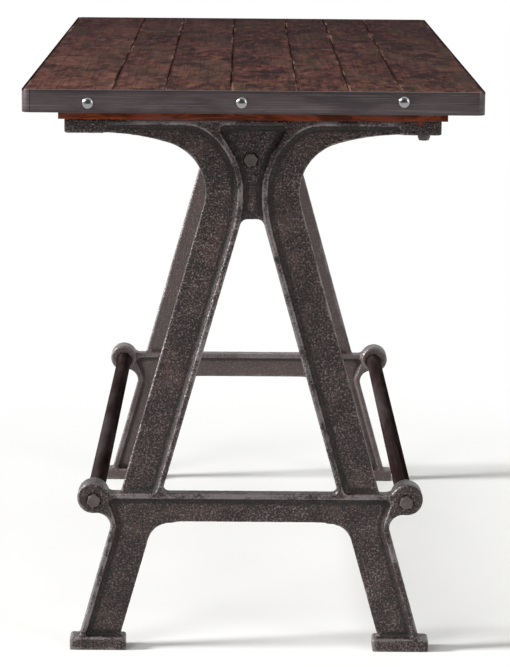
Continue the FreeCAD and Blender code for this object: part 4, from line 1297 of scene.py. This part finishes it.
class WORKTABLE_OT_bars(bpy.types.Operator):
    """Builds the two foot rails and the tie rod"""
    bl_idname = "worktable.bars"
    bl_label = "Rails and Tie Rod"

    def execute(self, context):
        build_bars(context.scene.worktable_iron)
        return {"FINISHED"}


class WORKTABLE_OT_bolts(bpy.types.Operator):
    """Builds the hexagon bolts and ledge screws"""
    bl_idname = "worktable.bolts"
    bl_label = "Bolts"

    def execute(self, context):
        build_bolts(context.scene.worktable_steel)
        return {"FINISHED"}


class WORKTABLE_OT_washers(bpy.types.Operator):
    """Builds the washers under the arm pads"""
    bl_idname = "worktable.washers"
    bl_label = "Washers"

    def execute(self, context):
        build_washers(context.scene.worktable_steel)
        return {"FINISHED"}


class WORKTABLE_OT_cleat_screws(bpy.types.Operator):
    """Builds the wood screws of the cleats"""
    bl_idname = "worktable.cleat_screws"
    bl_label = "Cleat Screws"

    def execute(self, context):
        build_cleat_screws(context.scene.worktable_steel)
        return {"FINISHED"}


class WORKTABLE_OT_cleats(bpy.types.Operator):
    """Builds the two cleats and the splinter"""
    bl_idname = "worktable.cleats"
    bl_label = "Cleats"

    def execute(self, context):
        build_cleats(context.scene.worktable_wood)
        return {"FINISHED"}


class WORKTABLE_OT_planks(bpy.types.Operator):
    """Builds the planks of the top"""
    bl_idname = "worktable.planks"
    bl_label = "Planks"

    def execute(self, context):
        build_planks(context.scene.worktable_wood)
        return {"FINISHED"}


class WORKTABLE_OT_bands(bpy.types.Operator):
    """Builds the two strips of the edge band"""
    bl_idname = "worktable.bands"
    bl_label = "Edge Band"

    def execute(self, context):
        build_bands(context.scene.worktable_steel)
        return {"FINISHED"}


class WORKTABLE_OT_nails(bpy.types.Operator):
    """Builds the domed nails round the band"""
    bl_idname = "worktable.nails"
    bl_label = "Nails"

    def execute(self, context):
        build_nails(context.scene.worktable_steel)
        return {"FINISHED"}


class WORKTABLE_OT_stage(bpy.types.Operator):
    """Sets the floor, lights, white surroundings and camera"""
    bl_idname = "worktable.stage"
    bl_label = "Stage"

    def execute(self, context):
        build_stage(context.scene.worktable_studio)
        return {"FINISHED"}


OPERATORS = (
    WORKTABLE_OT_castings, WORKTABLE_OT_bars, WORKTABLE_OT_bolts, WORKTABLE_OT_washers,
    WORKTABLE_OT_cleat_screws, WORKTABLE_OT_cleats, WORKTABLE_OT_planks, WORKTABLE_OT_bands,
    WORKTABLE_OT_nails, WORKTABLE_OT_stage,
)
SETTINGS = {
    "worktable_iron": WorkTableIron,
    "worktable_wood": WorkTableWood,
    "worktable_steel": WorkTableSteel,
    "worktable_studio": WorkTableStudio,
}


class WORKTABLE_PT_pieces(bpy.types.Panel):
    """Lists the table's pieces and their settings"""
    bl_idname = "WORKTABLE_PT_pieces"
    bl_label = "Work Table"
    bl_space_type = "VIEW_3D"
    bl_region_type = "UI"
    bl_category = "Work Table"

    def draw(self, context):
        for operator in OPERATORS:
            self.layout.operator(operator.bl_idname)
        for name, kind in SETTINGS.items():
            section = self.layout.box()
            section.label(text=kind.__doc__)
            for setting in kind.__annotations__:
                section.prop(getattr(context.scene, name), setting)


def register():
    for kind in (*SETTINGS.values(), *OPERATORS, WORKTABLE_PT_pieces):
        bpy.utils.register_class(kind)
    for name, kind in SETTINGS.items():
        setattr(bpy.types.Scene, name, bpy.props.PointerProperty(type=kind))


def unregister():
    for name in SETTINGS:
        delattr(bpy.types.Scene, name)
    for kind in reversed((*SETTINGS.values(), *OPERATORS, WORKTABLE_PT_pieces)):
        bpy.utils.unregister_class(kind)


def main():
    register()
    for operator in OPERATORS:
        getattr(bpy.ops.worktable, operator.bl_idname.split(".")[1])()


if __name__ == "__main__":
    main()
